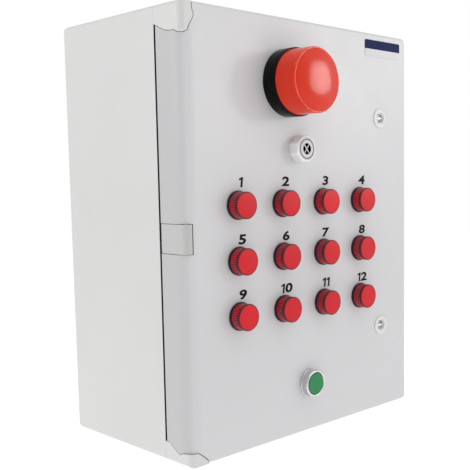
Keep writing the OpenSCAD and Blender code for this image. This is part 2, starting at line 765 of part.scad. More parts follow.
// Cam at rest: hanging, clear of the rim
module lock_cam(z) {
  color(steel) on_face(lock_x, z) translate([0, 0, -cam_d - cam_t]) difference() {
    union() {
      cylinder(r = cam_w / 2, h = cam_t);
      translate([-cam_w / 2, -cam_reach + cam_w / 4, 0]) cube([cam_w, cam_reach - cam_w / 4, cam_t]);
      translate([-cam_w / 4, -cam_reach, 0]) cube([cam_w / 2, cam_reach, cam_t]);
    }
    translate([-tang / 2 - 0.05, -tang / 2 - 0.05, -1]) cube([tang + 0.1, tang + 0.1, cam_t + 2]);
  }
}

module lock_screw(z) {
  color(steel) on_face(lock_x, z) translate([0, 0, -cam_d - cam_t]) difference() {
    union() {
      translate([0, 0, -2.4]) cylinder(r = 5, h = 2.4);
      translate([0, 0, -eps]) cylinder(r = 1.65, h = 7);
    }
    translate([0, 0, -3]) cylinder(r = 2, h = 2, $fn = 6);
  }
}

module beacon_base() {
  inner = beacon_lens_r - beacon_wall - 0.2;
  color([0.06, 0.06, 0.07]) on_face(beacon_x, beacon_z) difference() {
    union() {
      rotate_extrude() polygon([[0, 1.5], [beacon_r - 4, 1.5], [beacon_r - 4, 0], [beacon_r - 0.6, 0],
        [beacon_r, 0.6], [beacon_r, beacon_base_h - 2.5], [beacon_r - 0.5, beacon_base_h],
        [inner - 2.5, beacon_base_h], [inner - 2.5, beacon_floor], [0, beacon_floor]]);
      for (a = [0, 180]) rotate([0, 0, a]) translate([beacon_screw_r, 0, 1.5]) cylinder(r = 4.5, h = 11);
    }
    // Seat of the lens skirt
    translate([0, 0, beacon_base_h - 4]) difference() {
      cylinder(r = beacon_lens_r - 1.2, h = 6);
      translate([0, 0, -1]) cylinder(r = inner - 0.6, h = 8);
    }
    translate([0, 0, -1]) cylinder(r = 5, h = 10);
    for (a = [0, 180]) rotate([0, 0, a]) translate([beacon_screw_r, 0, -1]) cylinder(r = 1.6, h = 11);
  }
}

module beacon_gasket() {
  color([0.15, 0.15, 0.15]) on_face(beacon_x, beacon_z) difference() {
    cylinder(r = beacon_r - 4.2, h = 1.5);
    translate([0, 0, -1]) cylinder(r = beacon_r - 7, h = 4);
  }
}

module beacon_lens() {
  r = beacon_lens_r;
  w = beacon_wall;
  base = beacon_base_h;
  shoulder = beacon_h - 6;
  color([0.82, 0.2, 0.14]) on_face(beacon_x, beacon_z) rotate_extrude() polygon(concat(
    [[r - 1.4, base - 3.8], [r - 1.4, base], [r, base]],
    arc(r - 3.5, shoulder - 3.5 + 1.5, 3.5, 0, 70, 6),
    [for (i = [1 : 8]) let (x = (r - 2.3) * (1 - i / 8)) [x, shoulder + 1.4 + 4.6 * (1 - pow(x / r, 2))]],
    [for (i = [8 : -1 : 1]) let (x = (r - 2.3 - w) * (1 - i / 8))
      [x, shoulder + 1.4 - w + 4.6 * (1 - pow(x / r, 2))]],
    [[r - w - 1, shoulder - 2], [r - w - 0.6, base], [r - w - 0.6, base - 3.8]]));
}

module beacon_board() {
  on_face(beacon_x, beacon_z) {
    color("darkgreen") translate([0, 0, beacon_floor]) difference() {
      cylinder(r = beacon_board_r, h = 1.6);
      translate([0, 0, -1]) cylinder(r = 2, h = 4);
    }
    color("white") translate([0, 0, beacon_floor + 1.6 - eps]) difference() {
      cylinder(r1 = 11, r2 = 8, h = beacon_h - 19, $fn = 24);
      translate([0, 0, -1]) cylinder(r = 5, h = beacon_h - 20);
    }
  }
}

module beacon_screws() {
  color(steel) on_face(beacon_x, beacon_z) for (a = [0, 180]) rotate([0, 0, a])
    translate([beacon_screw_r, 0, -wall]) {
      translate([0, 0, -2.2]) cylinder(r = 3.8, h = 2.2);
      translate([0, 0, -eps]) cylinder(r = 1.55, h = 12);
    }
}

// Neck with its panel nut, common to lamps, sounder and button
module neck(length, bore) {
  translate([0, 0, -wall - length]) difference() {
    cylinder(r = neck_r, h = wall + length + eps);
    translate([0, 0, -1]) cylinder(r = bore, h = wall + length + 2);
  }
}

module panel_nut() {
  translate([0, 0, -wall - nut_t]) difference() {
    cylinder(r = nut_r, h = nut_t);
    translate([0, 0, -1]) cylinder(r = neck_r + nut_clear, h = nut_t + 2);
    for (i = [0 : 11]) rotate([0, 0, 30 * i]) translate([nut_r - 1, -1.2, -1]) cube([2, 2.4, nut_t + 2]);
  }
}

module sounder_body() {
  color([0.8, 0.8, 0.8]) on_face(sounder_x, sounder_z) difference() {
    union() {
      cylinder(r = sounder_r - 0.9, h = sounder_h - 1);
      translate([0, 0, sounder_h - 1 - eps]) cylinder(r1 = sounder_r - 0.9, r2 = sounder_r - 2, h = 1);
      for (i = [0 : sounder_lobes - 1]) rotate([0, 0, (i + 0.5) * 360 / sounder_lobes])
        translate([sounder_r - 4, 0, 0]) cylinder(r = 4, h = sounder_h - 2);
      neck(neck_back, light_bore);
      translate([0, 0, -3]) cylinder(r = neck_r, h = 4);
    }
    translate([0, 0, sounder_h - 3]) cylinder(r = grille_r + 0.1, h = 4);
    translate([0, 0, 4]) cylinder(r = 9, h = sounder_h);
  }
}

module sounder_grille() {
  color([0.86, 0.86, 0.86]) on_face(sounder_x, sounder_z) translate([0, 0, sounder_h - 3]) difference() {
    rotate_extrude() polygon([[0, 0], [grille_r, 0], [grille_r, 2.6], [grille_r - 0.6, 3.2],
      [grille_r - 1.6, 3.2], [grille_r - 1.9, 2.8], [grille_r - 2.6, 2.8], [grille_r - 2.9, 3.2],
      [port_r + 1.4, 3.2], [port_r + 1.1, 3.6], [port_r + 0.2, 3.6], [port_r, 3.2], [0, 3.2]]);
    difference() {
      translate([0, 0, -1]) cylinder(r = port_r, h = 6);
      for (a = [52, -52]) rotate([0, 0, a])
        translate([-port_r, -port_bar / 2, -2]) cube([2 * port_r, port_bar, 8]);
    }
  }
}

module sounder_disc() {
  color([0.05, 0.05, 0.05]) on_face(sounder_x, sounder_z) translate([0, 0, 4]) cylinder(r = 8.8, h = 2);
}

module sounder_nut() {
  color([0.75, 0.75, 0.75]) on_face(sounder_x, sounder_z) panel_nut();
}

module button_bezel() {
  inner = cap_r + cap_gap;
  color("silver") on_face(button_x, button_z) difference() {
    union() {
      rotate_extrude() polygon([[0, 0], [bezel_r, 0], [bezel_r, 1.5], [bezel_r - 0.5, 2],
        [bezel_r - 0.5, bezel_h - 1], [bezel_r - 1.3, bezel_h], [inner + 0.6, bezel_h],
        [inner, bezel_h - 0.6], [inner, 2], [0, 2]]);
      translate([0, 0, -wall - neck_back]) cylinder(r = neck_r, h = wall + neck_back + 2);
    }
    translate([0, 0, 2]) cylinder(r = inner, h = bezel_h);
    translate([0, 0, -wall - neck_back - 1]) cylinder(r = stem_r + stem_clear, h = wall + neck_back + 6);
  }
}

module button_nut() {
  color(steel) on_face(button_x, button_z) panel_nut();
}

module button_cap() {
  color([0.2, 0.52, 0.33]) on_face(button_x, button_z) {
    rotate_extrude() polygon([[0, 2.4 + button_travel], [cap_r, 2.4 + button_travel], [cap_r, bezel_h - 0.5],
      [cap_r - 0.8, bezel_h + 0.3], [cap_r - 2, bezel_h + 0.4], [0, bezel_h + 0.2]]);
    translate([0, 0, -wall - neck_back]) cylinder(r = stem_r, h = wall + neck_back + 3 + button_travel);
  }
}

module contact_block() {
  back = wall + neck_back;
  color([0.2, 0.2, 0.22]) on_face(button_x, button_z) difference() {
    translate([-15, -18, -back - 26]) cube([30, 36, 28]);
    translate([0, 0, -back - 5]) cylinder(r = stem_r + 1, h = 20);
    translate([0, 0, -back]) cylinder(r = neck_r + 0.05, h = 10);
    for (x = [-8, 8], y = [-19, 12]) translate([x - 3, y, -back - 20]) cube([6, 7, 12]);
  }
}

module label_plate() {
  color("navy") on_face(case_w / 2 - label_in - label_w / 2, case_h / 2 - label_down - label_h / 2)
    linear_extrude(label_t) polygon(round_rect(label_w, label_h, 1.5, 1.5));
}

module lamp_bodies() {
  color([0.08, 0.08, 0.09]) for (p = lamp_at) on_face(p[0], p[1]) difference() {
    union() {
      translate([0, 0, washer_t]) cylinder(r = bezel_ring_r, h = bezel_ring_t);
      neck(neck_back, light_bore);
      translate([0, 0, -1]) cylinder(r = neck_r, h = washer_t + 1.5);
    }
    translate([0, 0, -2]) cylinder(r = light_bore, h = 6);
    translate([0, 0, washer_t + 0.6]) cylinder(r = neck_r - 0.5, h = 3);
  }
}

module lamp_washers() {
  color([0.12, 0.12, 0.12]) for (p = lamp_at) on_face(p[0], p[1]) difference() {
    cylinder(r = bezel_ring_r - 0.3, h = washer_t);
    translate([0, 0, -1]) cylinder(r = hole_r + 0.2, h = 4);
  }
}

module lamp_nuts() {
  color([0.15, 0.15, 0.16]) for (p = lamp_at) on_face(p[0], p[1]) panel_nut();
}

module lamp_blocks() {
  back = wall + neck_back;
  color([0.88, 0.88, 0.84]) for (p = lamp_at) on_face(p[0], p[1]) {
    difference() {
      translate([-14, -17, -back - 22]) cube([28, 34, 22]);
      for (x = [-7, 7], y = [-18, 11]) translate([x - 3, y, -back - 17]) cube([6, 7, 10]);
    }
    // Light source in the neck
    translate([0, 0, -back - eps]) cylinder(r = light_bore - 2, h = back + washer_t);
    translate([0, 0, washer_t - eps]) cylinder(r1 = 4.5, r2 = 3.5, h = 4);
  }
}

module lamp_lens(i) {
  z0 = washer_t + bezel_ring_t;
  color(lamp_red) on_face(lamp_at[i][0], lamp_at[i][1]) rotate_extrude() polygon([
    [neck_r - 0.7, z0 - 0.8], [neck_r - 0.7, z0], [lens_r, z0], [lens_r, lens_h - 1.1],
    [lens_r - 0.9, lens_h - 0.2],
    [lens_r - 1.5, lens_h - 0.2], [lens_r - 1.9, lens_h], [0, lens_h], [0, lens_h - 1.6],
    [lens_r - lens_wall - 1, lens_h - 1.6], [lens_r - lens_wall, lens_h - 3],
    [lens_r - lens_wall, z0 + 1.4], [neck_r - 2, z0 + 1.4], [neck_r - 2, z0 - 0.8]]);
}

rear_box();
hinge_pin(top_pin_z(), pin_len());  // hinge_pin_top
hinge_pin(bottom_pin_z(), pin_len());  // hinge_pin_bottom
hinge_pin(-mid_h / 2 - mid_pin_grip, mid_h + 2 * mid_pin_grip);  // hinge_pin_middle
hinge_block();
hinge_block_screws();
mounting_plate();
plate_screws();
din_rail();
terminal_row();
power_supply();
control_board();
board_pillars();
relay_bank();
standby_battery();
battery_bracket();
cable_gland();
gland_locknut();
door();
door_gasket();
lock_housing(lock_zs[0]);  // lock_housing_upper
lock_housing(lock_zs[1]);  // lock_housing_lower
lock_nuts();
beacon_base();
beacon_gasket();
beacon_lens();
beacon_board();
beacon_screws();
sounder_body();
sounder_grille();
sounder_disc();
sounder_nut();
button_bezel();
button_nut();
contact_block();
label_plate();
lamp_bodies();
lamp_washers();
lamp_nuts();
lamp_blocks();
lock_core(lock_zs[0]);  // lock_core_upper
lock_cam(lock_zs[0]);  // lock_cam_upper
lock_screw(lock_zs[0]);  // lock_screw_upper
lock_core(lock_zs[1]);  // lock_core_lower
lock_cam(lock_zs[1]);  // lock_cam_lower
lock_screw(lock_zs[1]);  // lock_screw_lower
button_cap();
for (i = [0 : lamp_count - 1])
  lamp_lens(i);
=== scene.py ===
"""Looks of a wall-mounted twelve-zone alarm panel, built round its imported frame.

Each group of pieces has its own operator; main() runs them in order.
"""

import json
import math

import bmesh
import bpy
from bpy.props import FloatProperty, FloatVectorProperty, IntProperty, PointerProperty
from mathutils import Matrix, Vector

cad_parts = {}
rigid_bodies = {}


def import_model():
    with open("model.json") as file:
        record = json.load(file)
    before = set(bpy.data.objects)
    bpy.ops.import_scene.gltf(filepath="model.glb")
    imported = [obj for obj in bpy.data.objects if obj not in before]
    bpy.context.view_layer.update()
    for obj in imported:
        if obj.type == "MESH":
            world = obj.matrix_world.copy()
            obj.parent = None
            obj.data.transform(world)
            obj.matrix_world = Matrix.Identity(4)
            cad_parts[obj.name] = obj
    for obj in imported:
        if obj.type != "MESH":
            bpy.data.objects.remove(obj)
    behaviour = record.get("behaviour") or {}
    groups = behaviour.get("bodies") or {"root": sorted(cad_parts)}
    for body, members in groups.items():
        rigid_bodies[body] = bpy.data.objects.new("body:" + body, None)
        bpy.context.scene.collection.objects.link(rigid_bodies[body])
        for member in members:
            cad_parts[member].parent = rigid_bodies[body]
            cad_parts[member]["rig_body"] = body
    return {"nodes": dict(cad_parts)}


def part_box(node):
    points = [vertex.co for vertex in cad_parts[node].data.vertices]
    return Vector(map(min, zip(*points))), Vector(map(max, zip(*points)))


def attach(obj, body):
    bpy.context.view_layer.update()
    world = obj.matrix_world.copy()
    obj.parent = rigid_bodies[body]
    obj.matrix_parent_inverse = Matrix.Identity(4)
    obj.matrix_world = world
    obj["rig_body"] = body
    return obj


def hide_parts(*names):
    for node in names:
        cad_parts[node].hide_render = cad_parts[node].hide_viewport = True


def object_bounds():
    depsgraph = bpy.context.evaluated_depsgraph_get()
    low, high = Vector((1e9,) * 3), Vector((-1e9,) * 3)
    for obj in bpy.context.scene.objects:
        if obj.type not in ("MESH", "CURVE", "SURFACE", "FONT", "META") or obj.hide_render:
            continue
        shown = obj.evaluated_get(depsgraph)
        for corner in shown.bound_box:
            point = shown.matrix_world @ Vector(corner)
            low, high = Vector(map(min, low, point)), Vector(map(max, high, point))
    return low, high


bl_info = {
    "name": "Zone alarm panel",
    "version": (1, 0, 0),
    "blender": (4, 5, 0),
    "location": "View3D > Sidebar > Alarm panel",
    "description": "Builds the finished pieces of a twelve-zone alarm panel round its frame",
    "category": "Add Mesh",
}

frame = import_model()
CAD_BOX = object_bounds()
MM = 0.001
ZONES = range(1, 13)


# ---- Measures taken from the frame ------------------------------------------


def centre(node):
    """Middle of a node's box."""
    low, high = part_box(node)
    return (low + high) / 2


def reach(node):
    """Half the width of a node's box, the radius of a round node."""
    low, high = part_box(node)
    return (high.x - low.x) / 2


def proud(node):
    """How far a node stands out of the door's face."""
    return FACE_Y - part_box(node)[0].y


def behind(node):
    """Local height of a node's rear end, below zero behind the door's face."""
    return FACE_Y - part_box(node)[1].y


FACE_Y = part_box("door")[0].y
LENS_R = reach("lamp_lens_1")
LENS_H = proud("lamp_lens_1")
BEACON_R = reach("beacon_base")
BEACON_BASE_H = proud("beacon_base")
BEACON_LENS_R = reach("beacon_lens")
BEACON_H = proud("beacon_lens")
SOUNDER_R = reach("sounder_body")
SOUNDER_H = proud("sounder_body")
BUTTON_R = reach("button_bezel")
BUTTON_H = proud("button_bezel")
CAP_R = reach("button_cap")
LOCK_R = reach("lock_housing_upper")
INSERT_R = reach("lock_core_upper")
NECK_R = 10.9 * MM          # threaded neck of a 22 mm device
DUST_TONE = 0.42            # grey of settled dust
DUST_SHARE = 0.3            # how far dust hides the colour under it


# ---- Sizes and colours a user may change ------------------------------------


def colour(name, description, default):
    """A colour property with the usual limits."""
    return FloatVectorProperty(name=name, description=description, default=default, size=3,
                               min=0.0, max=1.0, subtype="COLOR")


def length(name, description, default):
    """A length property in metres."""
    return FloatProperty(name=name, description=description, default=default, min=0.0, unit="LENGTH",
                         precision=5)


class CaseLooks(bpy.types.PropertyGroup):
    """Case, door and hinge finish."""

    shell: colour("Case colour", "Colour of the moulded polyester", (0.585, 0.585, 0.58))
    door: colour("Door colour", "Colour of the door, a shade cooler than the case", (0.585, 0.58, 0.592))
    # Edge tone: painted shade that darkens the door's hinge edge and the hinge knuckle.
    edge: FloatProperty(name="Edge tone", description="Tone of the door's handled hinge edge beside its face",
                        default=0.80, min=0.3, max=1.0)
    # This near-black colour is painted shade on the meeting edges of door and box, where the seam lies in
    # shadow.
    seal: colour("Seal colour", "Colour of the seal on the meeting edges", (0.012, 0.012, 0.013))
    grain: length("Grain", "Size of the moulded grain", 0.7 * MM)


class LampLooks(bpy.types.PropertyGroup):
    """Zone lamps and their numerals."""

    lens: colour("Lens colour", "Colour of the zone lenses", (0.66, 0.004, 0.012))
    ribs: IntProperty(name="Ribs", description="Ribs inside the wall of a lens", default=36, min=12, max=72)
    rim: length("Rim", "Width of the deep-toned rim round the front", 1.0 * MM)
    # Rim colour: painted shade, a deep red on the faces round the lens's front rim and the top of its side.
    rim_ink: colour("Rim colour", "Deep tone the lens takes round its rim", (0.085, 0.003, 0.006))
    # Rib colour: painted shade and dark reflections, given to alternate stripes round the lens wall and a band
    # at its foot.
    wall: colour("Rib colour", "Deep tone of the ribs in the lens wall", (0.10, 0.012, 0.03))
    numeral: length("Numeral height", "Height of a zone numeral", 9.8 * MM)
    slant: FloatProperty(name="Slant", description="Slant of the numerals", default=0.13, min=0.0, max=0.5)
    ink: colour("Ink colour", "Colour of the printed numerals", (0.006, 0.006, 0.007))


class BeaconLooks(bpy.types.PropertyGroup):
    """Flashing beacon."""

    lens: colour("Lens colour", "Colour of the beacon lens", (0.80, 0.036, 0.008))
    base: colour("Base colour", "Colour of the beacon base", (0.0035, 0.0035, 0.004))
    rings: IntProperty(name="Rings", description="Moulded rings on the front", default=13, min=4, max=20)
    ring_depth: length("Ring depth", "Depth of the moulded rings", 0.11 * MM)


class DeviceLooks(bpy.types.PropertyGroup):
    """Sounder, button, locks and label."""

    sounder: colour("Sounder colour", "Colour of the sounder cap", (0.84, 0.84, 0.84))
    # The face's grey is a darker copy of the cap's: painted shade on the front against the lighter sides.
    face: colour("Sounder face", "Colour of the sounder's ringed front", (0.62, 0.62, 0.62))
    cap: colour("Cap colour", "Colour of the push button", (0.035, 0.225, 0.085))
    metal: colour("Metal colour", "Colour of the plated bezel", (0.60, 0.60, 0.62))
    band: colour("Band colour", "Colour of the label's blank band", (0.010, 0.014, 0.075))


class StageLooks(bpy.types.PropertyGroup):
    """Floor, light and camera."""

    floor: colour("Floor colour", "Colour of the floor", (0.9, 0.9, 0.9))
    drop: length("Floor drop", "Height of the object's lowest point above the floor", 0.25)
    lift: FloatProperty(name="Floor glow", description="Glow that keeps the floor white", default=0.42, min=0.0)
    ambient: FloatProperty(name="Ambient", description="Strength of the even light", default=0.66, min=0.0)
    side: FloatProperty(name="Side light", description="Power of the side softbox", default=10.0, min=0.0,
                        subtype="POWER")
    front: FloatProperty(name="Front light", description="Power of the front softbox", default=8.0, min=0.0,
                         subtype="POWER")
    top: FloatProperty(name="Top light", description="Power of the overhead softbox", default=9.0, min=0.0,
                       subtype="POWER")
    gleam: FloatProperty(name="Gleam", description="Power of the softbox that only gives highlights",
                         default=4.6, min=0.0, subtype="POWER")


GROUPS = {"panel_case": CaseLooks, "panel_lamps": LampLooks, "panel_beacon": BeaconLooks,
          "panel_devices": DeviceLooks, "panel_stage": StageLooks}


# ---- Node helpers -----------------------------------------------------------


def node(tree, kind, **values):
    """Adds a shader node; values name its properties or, with _ for a space, its inputs."""
    made = tree.nodes.new("ShaderNode" + kind)
    for key, value in values.items():
        if hasattr(made, key):
            setattr(made, key, value)
        else:
            made.inputs[key.replace("_", " ")].default_value = value
    return made


def feed(tree, source, target):
    """Links a socket, or sets a plain number, on a target socket."""
    if isinstance(source, bpy.types.NodeSocket):
        tree.links.new(source, target)
    else:
        target.default_value = source


def maths(tree, operation, first, second=0.0):
    """A Math node's result from two sockets or numbers."""
    made = node(tree, "Math", operation=operation)
    feed(tree, first, made.inputs[0])
    feed(tree, second, made.inputs[1])
    return made.outputs[0]


def span(tree, value, low, high, to_low, to_high):
    """Maps a socket from one range to another, held at the ends."""
    made = node(tree, "MapRange", From_Min=low, From_Max=high, To_Min=to_low, To_Max=to_high)
    tree.links.new(value, made.inputs["Value"])
    return made.outputs["Result"]


def noise(tree, where, scale, detail=2.0, roughness=0.5):
    """A noise texture's value at a vector socket."""
    made = node(tree, "TexNoise", Scale=scale, Detail=detail, Roughness=roughness)
    tree.links.new(where, made.inputs["Vector"])
    return made.outputs["Fac"]


def blend(tree, mask, first, second):
    """Mixes two colours or colour sockets by a mask."""
    made = node(tree, "Mix", data_type="RGBA")
    feed(tree, mask, made.inputs["Factor"])
    for source, socket in ((first, made.inputs["A"]), (second, made.inputs["B"])):
        feed(tree, source if isinstance(source, bpy.types.NodeSocket) else (*source, 1.0), socket)
    return made.outputs["Result"]


def effect(name, inputs, outputs, fill):
    """A shader node group with number sockets, built once; fill(tree, inputs, where) returns its outputs."""
    found = bpy.data.node_groups.get(name)
    if found:
        return found
    tree = bpy.data.node_groups.new(name, "ShaderNodeTree")
    for label, value in inputs.items():
        socket = tree.interface.new_socket(label, in_out="INPUT", socket_type="NodeSocketFloat")
        socket.default_value = value
    for label in outputs:
        tree.interface.new_socket(label, in_out="OUTPUT", socket_type="NodeSocketFloat")
    start = tree.nodes.new("NodeGroupInput")
    end = tree.nodes.new("NodeGroupOutput")
    where = node(tree, "TexCoord").outputs["Object"]
    results = fill(tree, start.outputs, where)
    for label, result in zip(outputs, results):
        tree.links.new(result, end.inputs[label])
    return tree


def grain_effect():
    """Moulded grain: fine height, a slow shade and a slow roughness."""
    def fill(tree, given, where):
        fine = node(tree, "TexNoise", Detail=3.0)
        tree.links.new(where, fine.inputs["Vector"])
        tree.links.new(given["Scale"], fine.inputs["Scale"])
        slow = noise(tree, where, 9.0, 4.0)
        patch = noise(tree, where, 38.0, 3.0)
        shade = span(tree, maths(tree, "ADD", slow, maths(tree, "MULTIPLY", fine.outputs["Fac"], 0.35)),
                     0.45, 0.9, 0.0, 1.0)
        change = maths(tree, "MULTIPLY", maths(tree, "SUBTRACT", patch, 0.5), given["Spread"])
        return fine.outputs["Fac"], shade, maths(tree, "ADD", change, given["Roughness"])

    return effect("moulded_grain", {"Scale": 1400.0, "Roughness": 0.4, "Spread": 0.2},
                  ("Height", "Shade", "Roughness"), fill)


def dust_effect():
    """Dust that settles on upper faces, in soft patches."""
    def fill(tree, given, where):
        up = node(tree, "SeparateXYZ")
        tree.links.new(node(tree, "NewGeometry").outputs["Normal"], up.inputs[0])
        lying = span(tree, up.outputs["Z"], 0.3, 1.0, 0.15, 1.0)
        patches = span(tree, noise(tree, where, 26.0, 5.0, 0.65), 0.42, 0.72, 0.0, 1.0)
        return (maths(tree, "MULTIPLY", maths(tree, "MULTIPLY", lying, patches), given["Amount"]),)

    return effect("settled_dust", {"Amount": 0.3}, ("Mask",), fill)


def brushed_effect():
    """Fine brushed lines across one axis of the piece, as height and roughness."""
    def fill(tree, given, where):
        stretch = node(tree, "Mapping")
        tree.links.new(where, stretch.inputs["Vector"])
        stretch.inputs["Scale"].default_value = (60.0, 60.0, 5200.0)
        lines = noise(tree, stretch.outputs["Vector"], 1.0, 3.0, 0.6)
        marks = noise(tree, where, 420.0, 2.0)
        change = maths(tree, "MULTIPLY", maths(tree, "SUBTRACT", maths(tree, "ADD", lines, marks), 1.0), 0.35)
        return lines, maths(tree, "ADD", change, given["Roughness"])

    return effect("brushed_lines", {"Roughness": 0.3}, ("Height", "Roughness"), fill)


def place_effect(tree, group, **values):
    """Puts an effect group in a material with its own values."""
    made = tree.nodes.new("ShaderNodeGroup")
    made.node_tree = group
    for key, value in values.items():
        made.inputs[key].default_value = value
    return made


def blank(name):
    """A new material with only its shader and output."""
    made = bpy.data.materials.new(name)
    made.use_nodes = True
    tree = made.node_tree
    shader = next(n for n in tree.nodes if n.type == "BSDF_PRINCIPLED")
    return made, tree, shader


def bump(tree, shader, height, distance, strength=1.0):
    """Feeds a height through a Bump node to the shader's normal."""
    made = node(tree, "Bump", Strength=strength, Distance=distance)
    tree.links.new(height, made.inputs["Height"])
    tree.links.new(made.outputs["Normal"], shader.inputs["Normal"])


def axis_value(tree, axis):
    """The object coordinate along X, Y or Z."""
    split = node(tree, "SeparateXYZ")
    tree.links.new(node(tree, "TexCoord").outputs["Object"], split.inputs[0])
    return split.outputs[axis]


# ---- Materials --------------------------------------------------------------


def shade_pair(base, amount):
    """A darker and a lighter tone of one colour."""
    base = Vector(base)
    return tuple(base * (1 - amount)), tuple(v * (1 + amount) + amount * 0.01 for v in base)


def moulded(name, base, roughness=0.4, grain=1400.0, depth=0.02 * MM, spread=0.15, tones=0.03, dust=0.12,
            **sockets):
    """Moulded plastic, rubber or paint: grain, slow tone changes and a little dust."""
    made, tree, shader = blank(name)
    fine = place_effect(tree, grain_effect(), Scale=grain, Roughness=roughness, Spread=spread)
    dirt = place_effect(tree, dust_effect(), Amount=dust)
    dark, light = shade_pair(base, tones)
    tone = blend(tree, fine.outputs["Shade"], dark, light)
    settled = tuple((1 - DUST_SHARE) * v + DUST_SHARE * DUST_TONE for v in base)
    tree.links.new(blend(tree, dirt.outputs["Mask"], tone, settled), shader.inputs["Base Color"])
    tree.links.new(fine.outputs["Roughness"], shader.inputs["Roughness"])
    bump(tree, shader, fine.outputs["Height"], depth)
    for key, value in sockets.items():
        shader.inputs[key.replace("_", " ")].default_value = value
    return made


def metal(name, base, roughness=0.3, depth=0.008 * MM):
    """Brushed or plated metal."""
    made, tree, shader = blank(name)
    lines = place_effect(tree, brushed_effect(), Roughness=roughness)
    fine = place_effect(tree, grain_effect(), Scale=900.0)
    dark, light = shade_pair(base, 0.07)
    tree.links.new(blend(tree, fine.outputs["Shade"], dark, light), shader.inputs["Base Color"])
    tree.links.new(lines.outputs["Roughness"], shader.inputs["Roughness"])
    shader.inputs["Metallic"].default_value = 1.0
    bump(tree, shader, lines.outputs["Height"], depth)
    return made


def meeting_edge(tree, low, high):
    """A mask that is one between two depths along Y, where the door and the box meet: the band of painted seam
    shade.
    """
    y = axis_value(tree, "Y")
    return maths(tree, "MULTIPLY", maths(tree, "GREATER_THAN", y, low), maths(tree, "LESS_THAN", y, high))


def case_finish(name, base, edge_y, shaded=False):
    """Moulded polyester with painted shade: near-black on its meeting edge, and on the door darker towards its
    hinge edge.
    """
    looks = bpy.context.scene.panel_case
    made = moulded(name, base, roughness=0.42, grain=1.0 / looks.grain, depth=0.035 * MM, tones=0.018,
                   dust=0.10, Coat_Weight=0.12, Coat_Roughness=0.35)
    tree = made.node_tree
    shader = next(n for n in tree.nodes if n.type == "BSDF_PRINCIPLED")
    socket = shader.inputs["Base Color"]
    tone = socket.links[0].from_socket
    # Painted shade: the door grows darker towards its hinge edge, by the edge tone.
    if shaded:
        low = CAD_BOX[0].x
        edge_shade_mask = span(tree, axis_value(tree, "X"), low + 0.5 * MM, low + 7 * MM, 1.0, 0.0)
        tone = blend(tree, edge_shade_mask, tone, tuple(v * looks.edge for v in base))
    # Painted shade: the meeting edge face turns near-black, standing in for the shadow in the seam.
    near = 0.06 * MM
    mask = meeting_edge(tree, edge_y - near, edge_y + near)
    tree.links.new(blend(tree, mask, tone, tuple(looks.seal)), socket)
    return made


def lens_finish(name, base, roughness, transmission, specular=0.5):
    """Clear tinted plastic: slightly cloudy, with faint flow marks."""
    made, tree, shader = blank(name)
    fine = place_effect(tree, grain_effect(), Scale=600.0, Roughness=roughness, Spread=0.12)
    dark, light = shade_pair(base, 0.10)
    tree.links.new(blend(tree, fine.outputs["Shade"], dark, light), shader.inputs["Base Color"])
    tree.links.new(fine.outputs["Roughness"], shader.inputs["Roughness"])
    shader.inputs["Transmission Weight"].default_value = transmission
    shader.inputs["IOR"].default_value = 1.49
    shader.inputs["Specular IOR Level"].default_value = specular
    bump(tree, shader, fine.outputs["Height"], 0.012 * MM)
    return made


def label_finish():
    """White film with a plain coloured band over its upper part."""
    looks = bpy.context.scene.panel_devices
    low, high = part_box("label_plate")
    made = moulded("label_film", (0.68, 0.68, 0.69), roughness=0.55, grain=500.0, depth=0.006 * MM, dust=0.0,
                   Specular_IOR_Level=0.08)
    tree = made.node_tree
    shader = next(n for n in tree.nodes if n.type == "BSDF_PRINCIPLED")
    socket = shader.inputs["Base Color"]
    tone = socket.links[0].from_socket
    edge = low.z + 0.45 * (high.z - low.z)
    wobble = maths(tree, "MULTIPLY", noise(tree, node(tree, "TexCoord").outputs["Object"], 900.0), 0.1 * MM)
    mask = maths(tree, "GREATER_THAN", maths(tree, "ADD", axis_value(tree, "Z"), wobble), edge)
    tree.links.new(blend(tree, mask, tone, tuple(looks.band)), socket)
    return made


def galvanised(name):
    """Zinc-coated sheet with faint crystals."""
    made, tree, shader = blank(name)
    where = node(tree, "TexCoord").outputs["Object"]
    cells = node(tree, "TexVoronoi", Scale=110.0)
    tree.links.new(where, cells.inputs["Vector"])
    split = node(tree, "SeparateColor")
    tree.links.new(cells.outputs["Color"], split.inputs[0])
    tree.links.new(blend(tree, split.outputs[0], (0.42, 0.43, 0.45), (0.58, 0.59, 0.61)),
                   shader.inputs["Base Color"])
    tree.links.new(span(tree, split.outputs[1], 0.0, 1.0, 0.32, 0.5), shader.inputs["Roughness"])
    shader.inputs["Metallic"].default_value = 1.0
    bump(tree, shader, noise(tree, where, 700.0), 0.01 * MM)
    return made


